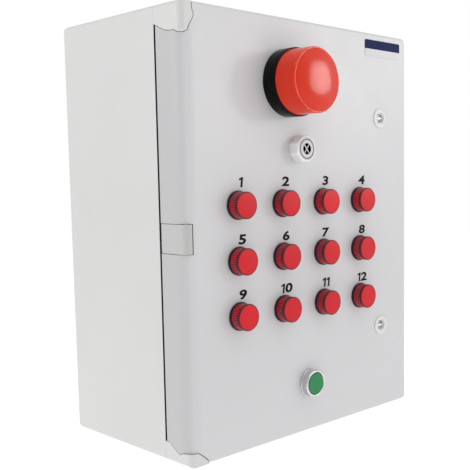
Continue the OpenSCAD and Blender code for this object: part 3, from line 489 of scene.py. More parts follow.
def finishes():
    """Every finish, made once, by name."""
    scene = bpy.context.scene
    case, lamps, beacon, devices = (scene.panel_case, scene.panel_lamps, scene.panel_beacon,
                                    scene.panel_devices)
    box_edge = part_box("hinge_block")[1].y
    door_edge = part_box("door")[1].y
    return {
        # Painted shade: case and door finishes both turn near-black on their meeting edges.
        "case": case_finish("case_polyester", case.shell, box_edge),
        # Painted shade: the door's finish darkens towards its hinge edge, and the hinge knuckle takes the case
        # colour darkened by the edge tone.
        "door": case_finish("door_polyester", case.door, door_edge, shaded=True),
        "hinge": moulded("hinge_polyester_shaded", tuple(v * case.edge for v in case.shell), 0.42, 1.0 / case.grain,
                         0.03 * MM, tones=0.02),
        "seal": moulded("seal_rubber", (0.022, 0.022, 0.024), 0.7, 900.0, 0.05 * MM, dust=0.35),
        "lens": lens_finish("zone_lens_red", lamps.lens, 0.36, 0.10, 0.22),
        "lens_rim_shade": lens_finish("zone_lens_rim_shade", lamps.rim_ink, 0.3, 0.0, 0.3),
        "lens_wall": lens_finish("zone_lens_wall", lamps.wall, 0.36, 0.0, 0.3),
        "bezel": moulded("bezel_black", (0.012, 0.012, 0.013), 0.35, 1200.0, dust=0.04,
                         Specular_IOR_Level=0.25),
        "ink": moulded("numeral_ink", lamps.ink, 0.6, 2500.0, 0.004 * MM, dust=0.0,
                       Specular_IOR_Level=0.1),
        "beacon_base": moulded("beacon_black", beacon.base, 0.22, 1500.0, 0.006 * MM, dust=0.02,
                               Specular_IOR_Level=0.07),
        "beacon_lens": lens_finish("beacon_lens_red", beacon.lens, 0.13, 0.22, 0.2),
        "reflector": moulded("reflector_white", (0.8, 0.8, 0.78), 0.25, 900.0, 0.006 * MM),
        "tube": lens_finish("tube_glass", (0.85, 0.85, 0.82), 0.05, 0.9),
        "sounder": moulded("sounder_grey", devices.sounder, 0.33, 1500.0, 0.012 * MM, dust=0.12),
        # Painted shade: the sounder's front takes a darker copy of the cap's grey.
        "sounder_face_shaded": moulded("sounder_face_shaded", devices.face, 0.4, 1500.0, 0.012 * MM, dust=0.12),
        # Painted shade for the sunken floor between the sounder's raised rings.
        "groove_shade": moulded("sounder_groove_shade", (0.20, 0.20, 0.20), 0.5, 1500.0, 0.012 * MM, dust=0.12),
        # This near-black finish also paints shade on the port's deep walls.
        "foam_and_port_shade": moulded("sounder_foam", (0.002, 0.002, 0.002), 0.95, 1800.0, 0.15 * MM, dust=0.0,
                        Specular_IOR_Level=0.0),
        "metal": metal("bezel_metal", devices.metal, 0.3),
        "cap": moulded("button_green", devices.cap, 0.36, 1300.0, 0.012 * MM, dust=0.0,
                       Specular_IOR_Level=0.12),
        "lock": moulded("lock_grey", (0.66, 0.66, 0.66), 0.36, 1500.0, 0.012 * MM),
        "insert": metal("lock_zinc", (0.78, 0.78, 0.79), 0.5),
        "label": label_finish(),
        "steel": metal("stainless_steel", (0.55, 0.55, 0.56), 0.28),
        "zinc": galvanised("galvanised_sheet"),
        "terminal": moulded("terminal_grey", (0.28, 0.29, 0.30), 0.5, 900.0, dust=0.2),
        "supply": metal("supply_case", (0.62, 0.63, 0.65), 0.4),
        "board": moulded("circuit_board", (0.008, 0.10, 0.028), 0.3, 420.0, 0.04 * MM, dust=0.15),
        "brass": metal("brass_pillar", (0.62, 0.42, 0.12), 0.3),
        "relay": moulded("relay_blue", (0.02, 0.11, 0.42), 0.3, 1500.0, 0.01 * MM, dust=0.15),
        "battery": moulded("battery_grey", (0.045, 0.045, 0.05), 0.45, 1200.0, dust=0.3),
        "gland": moulded("gland_nylon", (0.33, 0.33, 0.34), 0.45, 1200.0, dust=0.15),
        "contact": moulded("contact_black", (0.02, 0.02, 0.022), 0.42, 1200.0, dust=0.15),
        "block": moulded("lamp_block_white", (0.62, 0.62, 0.58), 0.42, 1200.0, dust=0.15),
    }


FINISH = {}


# ---- Mesh helpers -----------------------------------------------------------


def rounded(points, steps=4):
    """A line of (across, up, corner radius) points with its corners rounded."""
    line = []
    for i, (x, y, radius) in enumerate(points):
        here = Vector((x, y))
        if radius == 0 or i in (0, len(points) - 1):
            line.append(here)
            continue
        back = Vector(points[i - 1][:2]) - here
        on = Vector(points[i + 1][:2]) - here
        cut = min(radius / math.tan(back.angle(on) / 2), 0.48 * back.length, 0.48 * on.length)
        first, last = here + back.normalized() * cut, here + on.normalized() * cut
        for k in range(steps + 1):
            t = k / steps
            line.append(first * (1 - t) ** 2 + here * 2 * t * (1 - t) + last * t ** 2)
    return line


def spun(points, steps=96, corner_steps=4, closed=False):
    """A bmesh turned about the local Z axis from a line of (radius, height, corner radius) points."""
    bm = bmesh.new()
    verts = [bm.verts.new((p.x, 0.0, p.y)) for p in rounded(points, corner_steps)]
    edges = [bm.edges.new(pair) for pair in zip(verts, verts[1:])]
    if closed:
        edges.append(bm.edges.new((verts[-1], verts[0])))
    bmesh.ops.spin(bm, geom=verts + edges, cent=(0, 0, 0), axis=(0, 0, 1), angle=2 * math.pi, steps=steps,
                   use_merge=True)
    tidy(bm)
    return bm


def tidy(bm):
    """Merges doubles and turns faces outwards."""
    bmesh.ops.remove_doubles(bm, verts=bm.verts, dist=0.5e-6)
    bmesh.ops.dissolve_degenerate(bm, edges=bm.edges, dist=0.5e-6)
    bmesh.ops.recalc_face_normals(bm, faces=bm.faces)


def block(size, at=(0, 0, 0), bevel=0.0, segments=2):
    """A bmesh box with bevelled edges, centred on a point."""
    bm = bmesh.new()
    bmesh.ops.create_cube(bm, size=1.0)
    bmesh.ops.scale(bm, verts=bm.verts, vec=size)
    bmesh.ops.translate(bm, verts=bm.verts, vec=at)
    if bevel:
        bmesh.ops.bevel(bm, geom=bm.edges, offset=bevel, affect="EDGES", segments=segments, profile=0.5,
                        material=-1)
    return bm


def join(bm, *others):
    """Adds other bmeshes to the first and frees them."""
    for other in others:
        scratch = bpy.data.meshes.new("scratch")
        other.to_mesh(scratch)
        bm.from_mesh(scratch)
        bpy.data.meshes.remove(scratch)
        other.free()
    return bm


def paint(bm, index):
    """Gives every face of a bmesh one material index."""
    for face in bm.faces:
        face.material_index = index
    return bm


def on_door(bm, x, z):
    """Moves a bmesh from the local frame, Z out of the door, to a place on the door's face."""
    bm.transform(Matrix(((1, 0, 0, x), (0, 0, -1, FACE_Y), (0, 1, 0, z), (0, 0, 0, 1))))
    return bm


def finish_piece(name, mesh, materials, body, replaces=(), slot=None, sharp=0.7, even=False):
    """Makes the object of a mesh that is already in place, and ties it to the frame."""
    for key in materials:
        mesh.materials.append(FINISH[key])
    mesh.shade_smooth()
    mesh.set_sharp_from_angle(angle=sharp)
    made = bpy.data.objects.new(name, mesh)
    bpy.context.scene.collection.objects.link(made)
    if even:
        shading = made.modifiers.new("even_shading", "WEIGHTED_NORMAL")
        shading.keep_sharp = True
        shading.weight = 100
    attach(made, body)
    if replaces:
        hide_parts(*replaces)
    return made


def piece(name, bm, materials, body, **options):
    """Turns a bmesh into a finished piece."""
    mesh = bpy.data.meshes.new(name)
    bm.to_mesh(mesh)
    bm.free()
    return finish_piece(name, mesh, materials, body, **options)


def skin(name, source, material, slot, sharp=0.6):
    """A merged, smoothly shaded skin over a CAD node's own shape, which it stands for."""
    original = frame["nodes"][source]
    bm = bmesh.new()
    bm.from_mesh(original.data)
    bmesh.ops.remove_doubles(bm, verts=bm.verts, dist=1e-6)
    mesh = bpy.data.meshes.new(name)
    bm.to_mesh(mesh)
    bm.free()
    mesh.materials.clear()
    for layer in [a for a in mesh.attributes if a.name == "custom_normal"]:
        mesh.attributes.remove(layer)
    return finish_piece(name, mesh, [material], original["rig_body"], replaces=[source], slot=slot, sharp=sharp,
                        even=True)


def dress(material, *names):
    """Gives carried-over CAD nodes a finish."""
    for name in names:
        slots = frame["nodes"][name].data.materials
        slots.clear()
        slots.append(FINISH[material])


# ---- Case, door and hinge ---------------------------------------------------


class PANEL_OT_case(bpy.types.Operator):
    """Rear box and door in moulded polyester, with the gasket between them and painted shade on their meeting
    edges and on the door's hinge edge.
    """

    bl_idname = "alarm_panel.case"
    bl_label = "Case and door"

    def execute(self, context):
        skin("case_shell", "rear_box", "case", "case_polyester")
        skin("door_shell", "door", "door", "case_polyester")
        skin("hinge_knuckle", "hinge_block", "hinge", "case_polyester")
        skin("sealing_gasket", "door_gasket", "seal", "seal_rubber")
        dress("steel", "hinge_pin_top", "hinge_pin_bottom", "hinge_pin_middle", "hinge_block_screws")
        return {"FINISHED"}


# ---- Beacon -----------------------------------------------------------------


def beacon_front(radius):
    """Height of the beacon's domed front at a radius."""
    return BEACON_H - 4.6 * MM * (radius / BEACON_LENS_R) ** 2


class PANEL_OT_beacon(bpy.types.Operator):
    """Beacon: black base, ringed red lens and the flash tube behind it."""

    bl_idname = "alarm_panel.beacon"
    bl_label = "Beacon"

    def execute(self, context):
        looks = context.scene.panel_beacon
        at = centre("beacon_base")
        self.make_base(at)
        self.make_lens(at, looks)
        self.make_flash(at)
        dress("seal", "beacon_gasket")
        dress("steel", "beacon_screws")
        return {"FINISHED"}

    def make_base(self, at):
        """Round base with a seat for the lens and two bayonet lugs."""
        r, h = BEACON_R, BEACON_BASE_H
        bore = BEACON_LENS_R - 5 * MM
        base = spun([(0, 1.5 * MM, 0), (r - 4 * MM, 1.5 * MM, 0), (r - 4 * MM, 0, 0), (r, 0, 0.6 * MM),
                     (r, h - 4.2 * MM, 0), (r - 0.35 * MM, h - 4.0 * MM, 0), (r - 0.35 * MM, h - 3.5 * MM, 0),
                     (r, h - 3.3 * MM, 0), (r, h, 0.8 * MM), (bore, h, 0.4 * MM), (bore, 5 * MM, 1 * MM),
                     (0, 5 * MM, 0)], steps=128)
        for turn in (math.radians(45), math.radians(225)):
            lug = block((1.0 * MM, 5 * MM, 2.2 * MM), (r - 0.5 * MM, 0, h - 7 * MM), 0.25 * MM)
            lug.transform(Matrix.Rotation(turn, 4, "Z"))
            join(base, lug)
        piece("beacon_housing", on_door(base, at.x, at.z), ["beacon_base"], "door", replaces=["beacon_base"],
              slot="beacon_black")

    def make_lens(self, at, looks):
        """Lens with moulded rings on its front, steps inside and flutes inside its wall."""
        r, wall, steps = BEACON_LENS_R, 2 * MM, 120
        foot = BEACON_BASE_H
        shoulder = BEACON_H - 5 * MM
        edge = r - 1.9 * MM
        outside = [(r, foot + 0.05 * MM, 0), (r, foot + 1.2 * MM, 0.2 * MM), (r - 0.4 * MM, foot + 1.5 * MM, 0),
                   (r - 0.55 * MM, shoulder, 1.0 * MM)]
        pitch = edge / looks.rings
        front = []
        for i in range(looks.rings * 6 + 1):
            radius = edge - i * pitch / 6
            wave = 0.5 - 0.5 * math.cos(2 * math.pi * i / 6)
            front.append((radius, beacon_front(radius) - looks.ring_depth * wave, 0))
        inside = []
        for i in range(looks.rings):
            radius = (edge - wall) * i / looks.rings
            inside.append((radius, beacon_front(radius) - wall - 0.1 * MM, 0))
            radius = (edge - wall) * (i + 0.85) / looks.rings
            inside.append((radius, beacon_front(radius) - wall - 0.55 * MM, 0))
        back = [(r - wall - 1.2 * MM, shoulder - 1.4 * MM, 0), (r - wall - 0.6 * MM, foot, 0),
                (r - wall - 0.6 * MM, foot - 3.6 * MM, 0), (r - 1.5 * MM, foot - 3.6 * MM, 0),
                (r - 1.5 * MM, foot + 0.05 * MM, 0)]
        shoulder_points = [(edge + 0.6 * MM, beacon_front(edge) + 0.05 * MM, 0.4 * MM)]
        lens = spun(outside + shoulder_points + front + inside + back, steps=steps, closed=True)
        inner = r - wall - 1.25 * MM
        for vert in lens.verts:
            radius = math.hypot(vert.co.x, vert.co.y)
            turn = round(math.atan2(vert.co.y, vert.co.x) / (2 * math.pi) * steps)
            if inner < radius < r - wall - 0.5 * MM and vert.co.z > foot - 0.1 * MM and turn % 2:
                vert.co.xy *= 1 - 0.5 * MM / radius
        piece("beacon_dome", on_door(lens, at.x, at.z), ["beacon_lens"], "door", replaces=["beacon_lens"],
              slot="beacon_red", sharp=0.5)

    def make_flash(self, at):
        """White reflector on a round board, with a coiled flash tube and its two posts."""
        floor = 5 * MM
        board = paint(spun([(0, floor, 0), (18 * MM, floor, 0), (18 * MM, floor + 1.6 * MM, 0.2 * MM),
                            (0, floor + 1.6 * MM, 0)], steps=64), 0)
        dish = paint(spun([(5.5 * MM, floor + 1.6 * MM, 0), (11 * MM, floor + 1.6 * MM, 0.5 * MM),
                           (10.2 * MM, 17 * MM, 0.4 * MM), (13.5 * MM, 19 * MM, 0.3 * MM),
                           (13.5 * MM, 19.8 * MM, 0.2 * MM), (5.5 * MM, 17.8 * MM, 0.4 * MM)], steps=64,
                          closed=True), 1)
        coil = bmesh.new()
        bmesh.ops.create_circle(coil, cap_ends=True, segments=10, radius=1.3 * MM,
                                matrix=Matrix.Translation((6.2 * MM, 0, 19 * MM))
                                @ Matrix.Rotation(math.pi / 2, 4, "X"))
        bmesh.ops.spin(coil, geom=coil.verts[:] + coil.edges[:] + coil.faces[:], cent=(0, 0, 0), axis=(0, 0, 1),
                       dvec=(0, 0, 0.16 * MM), angle=math.radians(2 * 360), steps=64)
        tidy(coil)
        paint(coil, 2)
        posts = [paint(block((1.4 * MM, 1.4 * MM, 14 * MM), (x, 3 * MM, 13.5 * MM), 0.3 * MM), 3)
                 for x in (-6.2 * MM, 6.2 * MM)]
        join(board, dish, coil, *posts)
        piece("flash_unit", on_door(board, at.x, at.z), ["board", "reflector", "tube", "steel"], "door",
              replaces=["beacon_board"], slot="circuit_board")


# ---- Sounder ----------------------------------------------------------------


class PANEL_OT_sounder(bpy.types.Operator):
    """Sounder: lobed cap, ringed front with a crossed port, and the foam behind it."""

    bl_idname = "alarm_panel.sounder"
    bl_label = "Sounder"
    lobes = 8

    def outline(self, turn):
        """Radius of the lobed outline at an angle, for a plain radius of one lobe valley."""
        pitch = 2 * math.pi / self.lobes
        off = (turn % pitch) - pitch / 2
        middle, lobe = SOUNDER_R - 4 * MM, 4 * MM
        across = lobe ** 2 - (middle * math.sin(off)) ** 2
        arc = middle * math.cos(off) + math.sqrt(across) if across > 0 else 0
        return max(arc, SOUNDER_R - 0.9 * MM)

    def execute(self, context):
        at = centre("sounder_body")
        valley = SOUNDER_R - 0.9 * MM
        h = SOUNDER_H
        bore = reach("sounder_grille") + 0.1 * MM
        neck = NECK_R
        back = behind("sounder_body")
        body = spun([(8.5 * MM, back, 0), (neck, back, 0.3 * MM), (neck, 0, 0), (valley, 0, 0.4 * MM),
                     (valley, h - 2.6 * MM, 0), (valley, h - 1.6 * MM, 0), (valley - 0.2 * MM, h - 1.2 * MM, 0),
                     (valley - 0.5 * MM, h, 0.7 * MM), (bore, h, 0.3 * MM), (bore, h - 3 * MM, 0),
                     (9 * MM, h - 3 * MM, 0), (9 * MM, 4 * MM, 0), (8.5 * MM, 4 * MM, 0)], steps=160,
                    closed=True)
        for vert in body.verts:
            radius = math.hypot(vert.co.x, vert.co.y)
            if radius > valley - 0.3 * MM and vert.co.z < h - 0.9 * MM:
                grown = self.outline(math.atan2(vert.co.y, vert.co.x)) / valley
                fade = min(1.0, (h - 0.9 * MM - vert.co.z) / (1.2 * MM))
                vert.co.xy *= 1 + (grown - 1) * fade
        piece("sounder_cap", on_door(body, at.x, at.z), ["sounder"], "door", replaces=["sounder_body"],
              slot="sounder_grey")
        self.make_front(at, bore - 0.1 * MM, h)
        dress("foam_and_port_shade", "sounder_disc")
        dress("sounder", "sounder_nut")
        return {"FINISHED"}

    def make_front(self, at, r, h):
        """Front disc with two raised rings and two bars across the port, with painted shade deep in the port
        and on the sunken floor between the rings.
        """
        port = 5.7 * MM
        base = h - 3 * MM
        face = h + 0.2 * MM
        disc = spun([(port, base, 0), (r, base, 0), (r, h - 0.5 * MM, 0.2 * MM), (r - 0.6 * MM, face, 0.2 * MM),
                     (r - 1.2 * MM, face, 0.15 * MM), (r - 1.3 * MM, face - 0.9 * MM, 0),
                     (r - 2.3 * MM, face - 0.9 * MM, 0), (r - 2.4 * MM, face, 0.15 * MM),
                     (port + 2.0 * MM, face - 0.1 * MM, 0.1 * MM),
                     (port + 1.7 * MM, face + 0.3 * MM, 0.15 * MM),
                     (port + 0.3 * MM, face + 0.35 * MM, 0.25 * MM), (port, face, 0.1 * MM)], steps=96,
                    closed=True)
        foam_and_port_shade, groove_shade = 1, 2
        # Painted shade: faces deep inside the port take the near-black finish of the disc behind, and the
        # sunken floor between the rings a dark grey.
        for side in disc.faces:
            middle = side.calc_center_median()
            depth = face - middle.z
            if math.hypot(middle.x, middle.y) < port + 0.05 * MM and depth > 0.4 * MM:
                side.material_index = foam_and_port_shade
            elif depth > 0.5 * MM:
                side.material_index = groove_shade
        for turn in (math.radians(52), math.radians(-52)):
            bar = block((2 * port + 0.4 * MM, 0.95 * MM, 1.2 * MM), (0, 0, face - 0.65 * MM), 0.2 * MM)
            bar.transform(Matrix.Rotation(turn, 4, "Z"))
            join(disc, bar)
        piece("sounder_front", on_door(disc, at.x, at.z), ["sounder_face_shaded", "foam_and_port_shade", "groove_shade"], "door",
              replaces=["sounder_grille"], slot="sounder_grey")


# ---- Zone lamps and numerals ------------------------------------------------


class PANEL_OT_lamps(bpy.types.Operator):
    """Twelve red zone lenses and their black bezels."""

    bl_idname = "alarm_panel.lamps"
    bl_label = "Zone lamps"

    def execute(self, context):
        looks = context.scene.panel_lamps
        for zone in ZONES:
            source = f"lamp_lens_{zone}"
            at = centre(source)
            piece(f"zone_lens_{zone}", on_door(self.lens(looks), at.x, at.z),
                  ["lens", "lens_rim_shade", "lens_wall"], "door", replaces=[source], slot="lamp_red")
        self.make_bezels()
        dress("seal", "lamp_washers")
        skin("lamp_ring_nuts", "lamp_nuts", "contact", "contact_black")
        skin("lamp_housings", "lamp_blocks", "block", "lamp_block_white")
        return {"FINISHED"}

    def lens(self, looks):
        """Cup-shaped lens: flat front, painted shade on its rim, painted shade and dark reflections in stripes
        round its wall, and ribs inside the wall.
        """
        r, h, foot, wall = LENS_R, LENS_H - 1.0 * MM, 2.2 * MM, 1.4 * MM
        rim = looks.rim
        steps = 2 * looks.ribs
        cup = spun([(0, h, 0), (r - rim - 0.2 * MM, h, 0.1 * MM), (r - rim, h - 0.2 * MM, 0.1 * MM),
                    (r - 0.35 * MM, h - 0.2 * MM, 0.1 * MM), (r, h - 0.5 * MM, 0.2 * MM), (r, h - 3.0 * MM, 0),
                    (r - 0.12 * MM, h - 3.15 * MM, 0), (r - 0.12 * MM, foot + 1.0 * MM, 0),
                    (r, foot + 0.8 * MM, 0), (r, foot, 0.2 * MM), (10.2 * MM, foot, 0),
                    (10.2 * MM, foot - 0.8 * MM, 0),
                    (8.9 * MM, foot - 0.8 * MM, 0), (8.9 * MM, foot + 1.4 * MM, 0.3 * MM),
                    (r - wall, foot + 1.4 * MM, 0.3 * MM), (r - wall, h - 3 * MM, 0.4 * MM),
                    (r - wall - 1 * MM, h - 1.6 * MM, 0.3 * MM), (0, h - 1.6 * MM, 0)], steps=steps)
        for face in cup.faces:
            at = face.calc_center_median()
            radius = math.hypot(at.x, at.y)
            turn = math.floor(math.atan2(at.y, at.x) / (2 * math.pi) * steps)
            # Painted shade: faces round the front's rim and the top of the side take the deep rim tone.
            if at.z > h - 3.1 * MM:
                face.material_index = int(radius > r - rim - 0.1 * MM)
            # Painted shade and dark reflections: alternate faces round the outer wall, and the band at its
            # foot, take the deep wall tone.
            elif radius > r - 0.4 * MM and (turn % 2 or at.z < foot + 1.2 * MM):
                face.material_index = 2
        for vert in cup.verts:
            radius = math.hypot(vert.co.x, vert.co.y)
            turn = round(math.atan2(vert.co.y, vert.co.x) / (2 * math.pi) * steps)
            if r - wall - 0.4 * MM < radius < r - wall + 0.01 * MM and turn % 2:
                vert.co.xy *= 1 - 0.35 * MM / radius
        return cup

    def make_bezels(self):
        """One piece of twelve bezels with their necks."""
        r, top = LENS_R + 1 * MM, 2.2 * MM
        neck = NECK_R
        back = behind("lamp_bodies")
        rings = bmesh.new()
        for zone in ZONES:
            at = centre(f"lamp_lens_{zone}")
            ring = spun([(8.5 * MM, back, 0), (neck, back, 0.3 * MM), (neck, 0.8 * MM, 0),
                         (r, 0.8 * MM, 0.2 * MM), (r, top, 0.5 * MM), (neck - 0.5 * MM, top, 0),
                         (neck - 0.5 * MM, top - 0.8 * MM, 0), (8.5 * MM, top - 0.8 * MM, 0)], steps=72,
                        closed=True)
            join(rings, on_door(ring, at.x, at.z))
        piece("lamp_bezels", rings, ["bezel"], "door", replaces=["lamp_bodies"], slot="bezel_metal")


class PANEL_OT_numerals(bpy.types.Operator):
    """Printed zone numerals one to twelve."""

    bl_idname = "alarm_panel.numerals"
    bl_label = "Zone numerals"
    rise, top_rise, shift = 20.7 * MM, 22.0 * MM, 4.9 * MM
    top_row = 4
    gap, bold, wide = 0.1, 0.036, 1.6

    def execute(self, context):
        looks = context.scene.panel_lamps
        for zone in ZONES:
            at = centre(f"lamp_lens_{zone}")
            rise = self.top_rise if zone <= self.top_row else self.rise
            self.make_numeral(zone, at.x + self.shift, at.z + rise, looks)
        return {"FINISHED"}

    def make_numeral(self, zone, x, z, looks):
        """One numeral, bold and slanted, as thin raised ink."""
        parts = [self.one() if digit == "1" else self.typed(digit) for digit in str(zone)]
        bm, right = parts[0], max(v.co.x for v in parts[0].verts)
        for part in parts[1:]:
            shift = right + self.gap - min(v.co.x for v in part.verts)
            bmesh.ops.translate(part, verts=part.verts, vec=(shift, 0, 0))
            right = max(v.co.x for v in part.verts)
            join(bm, part)
        for vert in bm.verts:
            vert.co.x += looks.slant * vert.co.y
        middle = (max(v.co.x for v in bm.verts) + min(v.co.x for v in bm.verts)) / 2
        bmesh.ops.translate(bm, verts=bm.verts, vec=(-middle, -0.5, 0))
        bmesh.ops.scale(bm, verts=bm.verts, vec=(looks.numeral, looks.numeral, 0.08 * MM))
        bmesh.ops.recalc_face_normals(bm, faces=bm.faces)
        piece(f"numeral_{zone}", on_door(bm, x, z), ["ink"], "door", slot="label_film")

    def one(self):
        """The figure one, a stem with a flag, one unit high."""
        bm = bmesh.new()
        outline = ((0.26, 0), (0.52, 0), (0.52, 1), (0.36, 1), (0.0, 0.84), (0.0, 0.66), (0.26, 0.74))
        face = bm.faces.new([bm.verts.new((x, y, 0)) for x, y in outline])
        top = bmesh.ops.extrude_face_region(bm, geom=[face])["geom"]
        bmesh.ops.translate(bm, verts=[v for v in top if isinstance(v, bmesh.types.BMVert)], vec=(0, 0, 1))
        return bm

    def typed(self, digit):
        """Any other figure from the built-in typeface, made bold, one unit high."""
        text = bpy.data.curves.new("numeral", "FONT")
        text.body = digit
        text.offset = self.bold
        text.extrude = 0.5
        text.resolution_u = 5
        holder = bpy.data.objects.new("numeral", text)
        bpy.context.scene.collection.objects.link(holder)
        graph = bpy.context.evaluated_depsgraph_get()
        mesh = bpy.data.meshes.new_from_object(holder.evaluated_get(graph))
        bpy.data.objects.remove(holder)
        bm = bmesh.new()
        bm.from_mesh(mesh)
        bpy.data.meshes.remove(mesh)
        bmesh.ops.remove_doubles(bm, verts=bm.verts, dist=1e-5)
        low = min(v.co.y for v in bm.verts)
        tall = max(v.co.y for v in bm.verts) - low
        bmesh.ops.translate(bm, verts=bm.verts, vec=(0, -low, 0.5))
        bmesh.ops.scale(bm, verts=bm.verts, vec=(self.wide / tall, 1 / tall, 1))
        return bm


# ---- Push button ------------------------------------------------------------


class PANEL_OT_button(bpy.types.Operator):
    """Green push button in its plated bezel."""

    bl_idname = "alarm_panel.button"
    bl_label = "Push button"

    def execute(self, context):
        at = centre("button_bezel")
        r, h, cap = BUTTON_R, BUTTON_H, CAP_R
        inner = cap + 0.3 * MM
        neck, stem = NECK_R, 6.08 * MM
        back = behind("button_bezel")
        bezel = spun([(stem, back, 0), (neck, back, 0.3 * MM), (neck, 0, 0), (r, 0, 0.2 * MM),
                      (r, 1.4 * MM, 0.4 * MM), (r - 0.5 * MM, 1.9 * MM, 0.2 * MM),
                      (r - 0.5 * MM, h - 1.0 * MM, 0.3 * MM), (r - 1.3 * MM, h, 0.4 * MM),
                      (inner + 0.7 * MM, h, 0.3 * MM), (inner, h - 0.7 * MM, 0.2 * MM),
                      (inner, 2 * MM, 0.2 * MM), (stem, 2 * MM, 0)], steps=128, closed=True)
        piece("button_ring", on_door(bezel, at.x, at.z), ["metal"], "door", replaces=["button_bezel"],
              slot="bezel_metal")
        low = 5.9 * MM
        top = spun([(0, back, 0), (stem - 0.08 * MM, back, 0.3 * MM), (stem - 0.08 * MM, low, 0),
                    (cap, low, 0.2 * MM), (cap, h - 0.5 * MM, 0.2 * MM),
                    (cap - 0.5 * MM, h + 0.3 * MM, 0.4 * MM),
                    (cap - 2 * MM, h + 0.4 * MM, 0.5 * MM), (0, h + 0.2 * MM, 0)], steps=96)
        piece("button_push_cap", on_door(top, at.x, at.z), ["cap"], "button", replaces=["button_cap"],
              slot="button_green")
        dress("steel", "button_nut")
        dress("contact", "contact_block")
        return {"FINISHED"}


# ---- Locks ------------------------------------------------------------------


class PANEL_OT_locks(bpy.types.Operator):
    """Two quarter-turn locks: grey ring, dished insert with its double-bit pin, and cam."""

    bl_idname = "alarm_panel.locks"
    bl_label = "Locks"

    def execute(self, context):
        for side in ("upper", "lower"):
            self.make_ring(side)
            self.make_insert(side)
            skin(f"cam_{side}", f"lock_cam_{side}", "steel", "stainless")
            dress("steel", f"lock_screw_{side}")
        dress("steel", "lock_nuts")
        return {"FINISHED"}

    def make_ring(self, side):
        """Fixed ring and barrel."""
        source = f"lock_housing_{side}"
        at = centre(source)
        r, rise = LOCK_R, 1.1 * MM
        barrel, bore, spindle, floor = 8 * MM, INSERT_R + 0.05 * MM, 4.55 * MM, -9.5 * MM
        back = behind(source)
        ring = spun([(spindle, back, 0), (barrel, back, 0.4 * MM), (barrel, 0, 0), (r, 0, 0),
                     (r, rise, 0.7 * MM), (r - 1.4 * MM, rise, 0.3 * MM),
                     (r - 1.9 * MM, rise - 0.25 * MM, 0.2 * MM),
                     (bore + 1.3 * MM, rise - 0.25 * MM, 0.2 * MM), (bore + 0.5 * MM, rise, 0.3 * MM),
                     (bore, rise - 0.3 * MM, 0.2 * MM), (bore, floor, 0), (spindle, floor, 0)], steps=96,
                    closed=True)
        piece(f"lock_ring_{side}", on_door(ring, at.x, at.z), ["lock"], "door", replaces=[source],
              slot="lock_zinc")

    def make_insert(self, side):
        """Turning insert, dished, with a pin and two bits."""
        source = f"lock_core_{side}"
        at = centre(source)
        r, dish, foot, tang_h = INSERT_R, 4.4 * MM, -9.4 * MM, 3.5 * MM
        back = behind(source)
        core = spun([(0, -dish, 0), (r - 1.2 * MM, -dish, 1.2 * MM), (r - 0.9 * MM, -0.4 * MM, 0.3 * MM),
                     (r, -0.4 * MM, 0.2 * MM), (r, foot, 0), (4.5 * MM, foot, 0), (4.5 * MM, back + tang_h, 0),
                     (0, back + tang_h, 0)], steps=72)
        pin = spun([(0, -dish, 0), (1.5 * MM, -dish, 0), (1.5 * MM, -0.6 * MM, 0.3 * MM), (0, -0.6 * MM, 0)],
                   steps=24)
        bits = block((2 * r - 2.0 * MM, 1.5 * MM, 3.2 * MM), (0, 0, -2.8 * MM), 0.2 * MM)
        tang = block((5.85 * MM, 5.85 * MM, 3.6 * MM), (0, 0, back + 1.8 * MM), 0.2 * MM)
        join(core, pin, bits, tang)
        piece(f"lock_insert_{side}", on_door(core, at.x, at.z), ["insert"], f"{side}_lock", replaces=[source],
              slot="lock_zinc")


# ---- Label ------------------------------------------------------------------


class PANEL_OT_label(bpy.types.Operator):
    """Blank printed label in the door's upper corner."""

    bl_idname = "alarm_panel.label"
    bl_label = "Label"

    def execute(self, context):
        low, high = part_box("label_plate")
        size = high - low
        film = block((size.x, size.y, size.z), (low + high) / 2)
        upright = [e for e in film.edges if abs((e.verts[0].co - e.verts[1].co).y) > size.y / 2]
        bmesh.ops.bevel(film, geom=upright, offset=2 * MM, affect="EDGES", segments=6, profile=0.5, material=-1)
        piece("blank_label", film, ["label"], "door", replaces=["label_plate"], slot="label_film")
        return {"FINISHED"}


# ---- Inside of the case -----------------------------------------------------


class PANEL_OT_inside(bpy.types.Operator):
    """Mounting plate, power supply, boards, terminals, battery and cable entry."""

    bl_idname = "alarm_panel.inside"
    bl_label = "Inside"

    def execute(self, context):
        dress("zinc", "mounting_plate", "battery_bracket", "din_rail")
        dress("steel", "plate_screws")
        dress("terminal", "terminal_row")
        dress("supply", "power_supply")
        dress("brass", "board_pillars")
        dress("battery", "standby_battery")
        dress("board", "control_board")
        dress("relay", "relay_bank")
        skin("gland_body", "cable_gland", "gland", "gland_nylon")
        skin("gland_nut", "gland_locknut", "gland", "gland_nylon")
        self.make_small_parts()
        return {"FINISHED"}

    def make_small_parts(self):
        """Rows of tiny components soldered between the larger ones on the board."""
        low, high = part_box("relay_bank")
        columns, rows = 11, 2
        flat, tall = (3.2 * MM, 1.1 * MM, 1.6 * MM), (2.2 * MM, 1.8 * MM, 2.2 * MM)
        bits = bmesh.new()
        for column in range(columns):
            for row in range(rows):
                at = (low.x + (column + 0.5) * (high.x - low.x) / columns, low.y + (high.y - low.y) * 0.96,
                      low.z - (4 + 5 * row) * MM)
                size = flat if (column + row) % 3 else tall
                join(bits, paint(block(size, at, 0.2 * MM), (column + row) % 2))
        piece("board_components", bits, ["contact", "steel"], "case", slot="circuit_board")


# ---- Stage ------------------------------------------------------------------


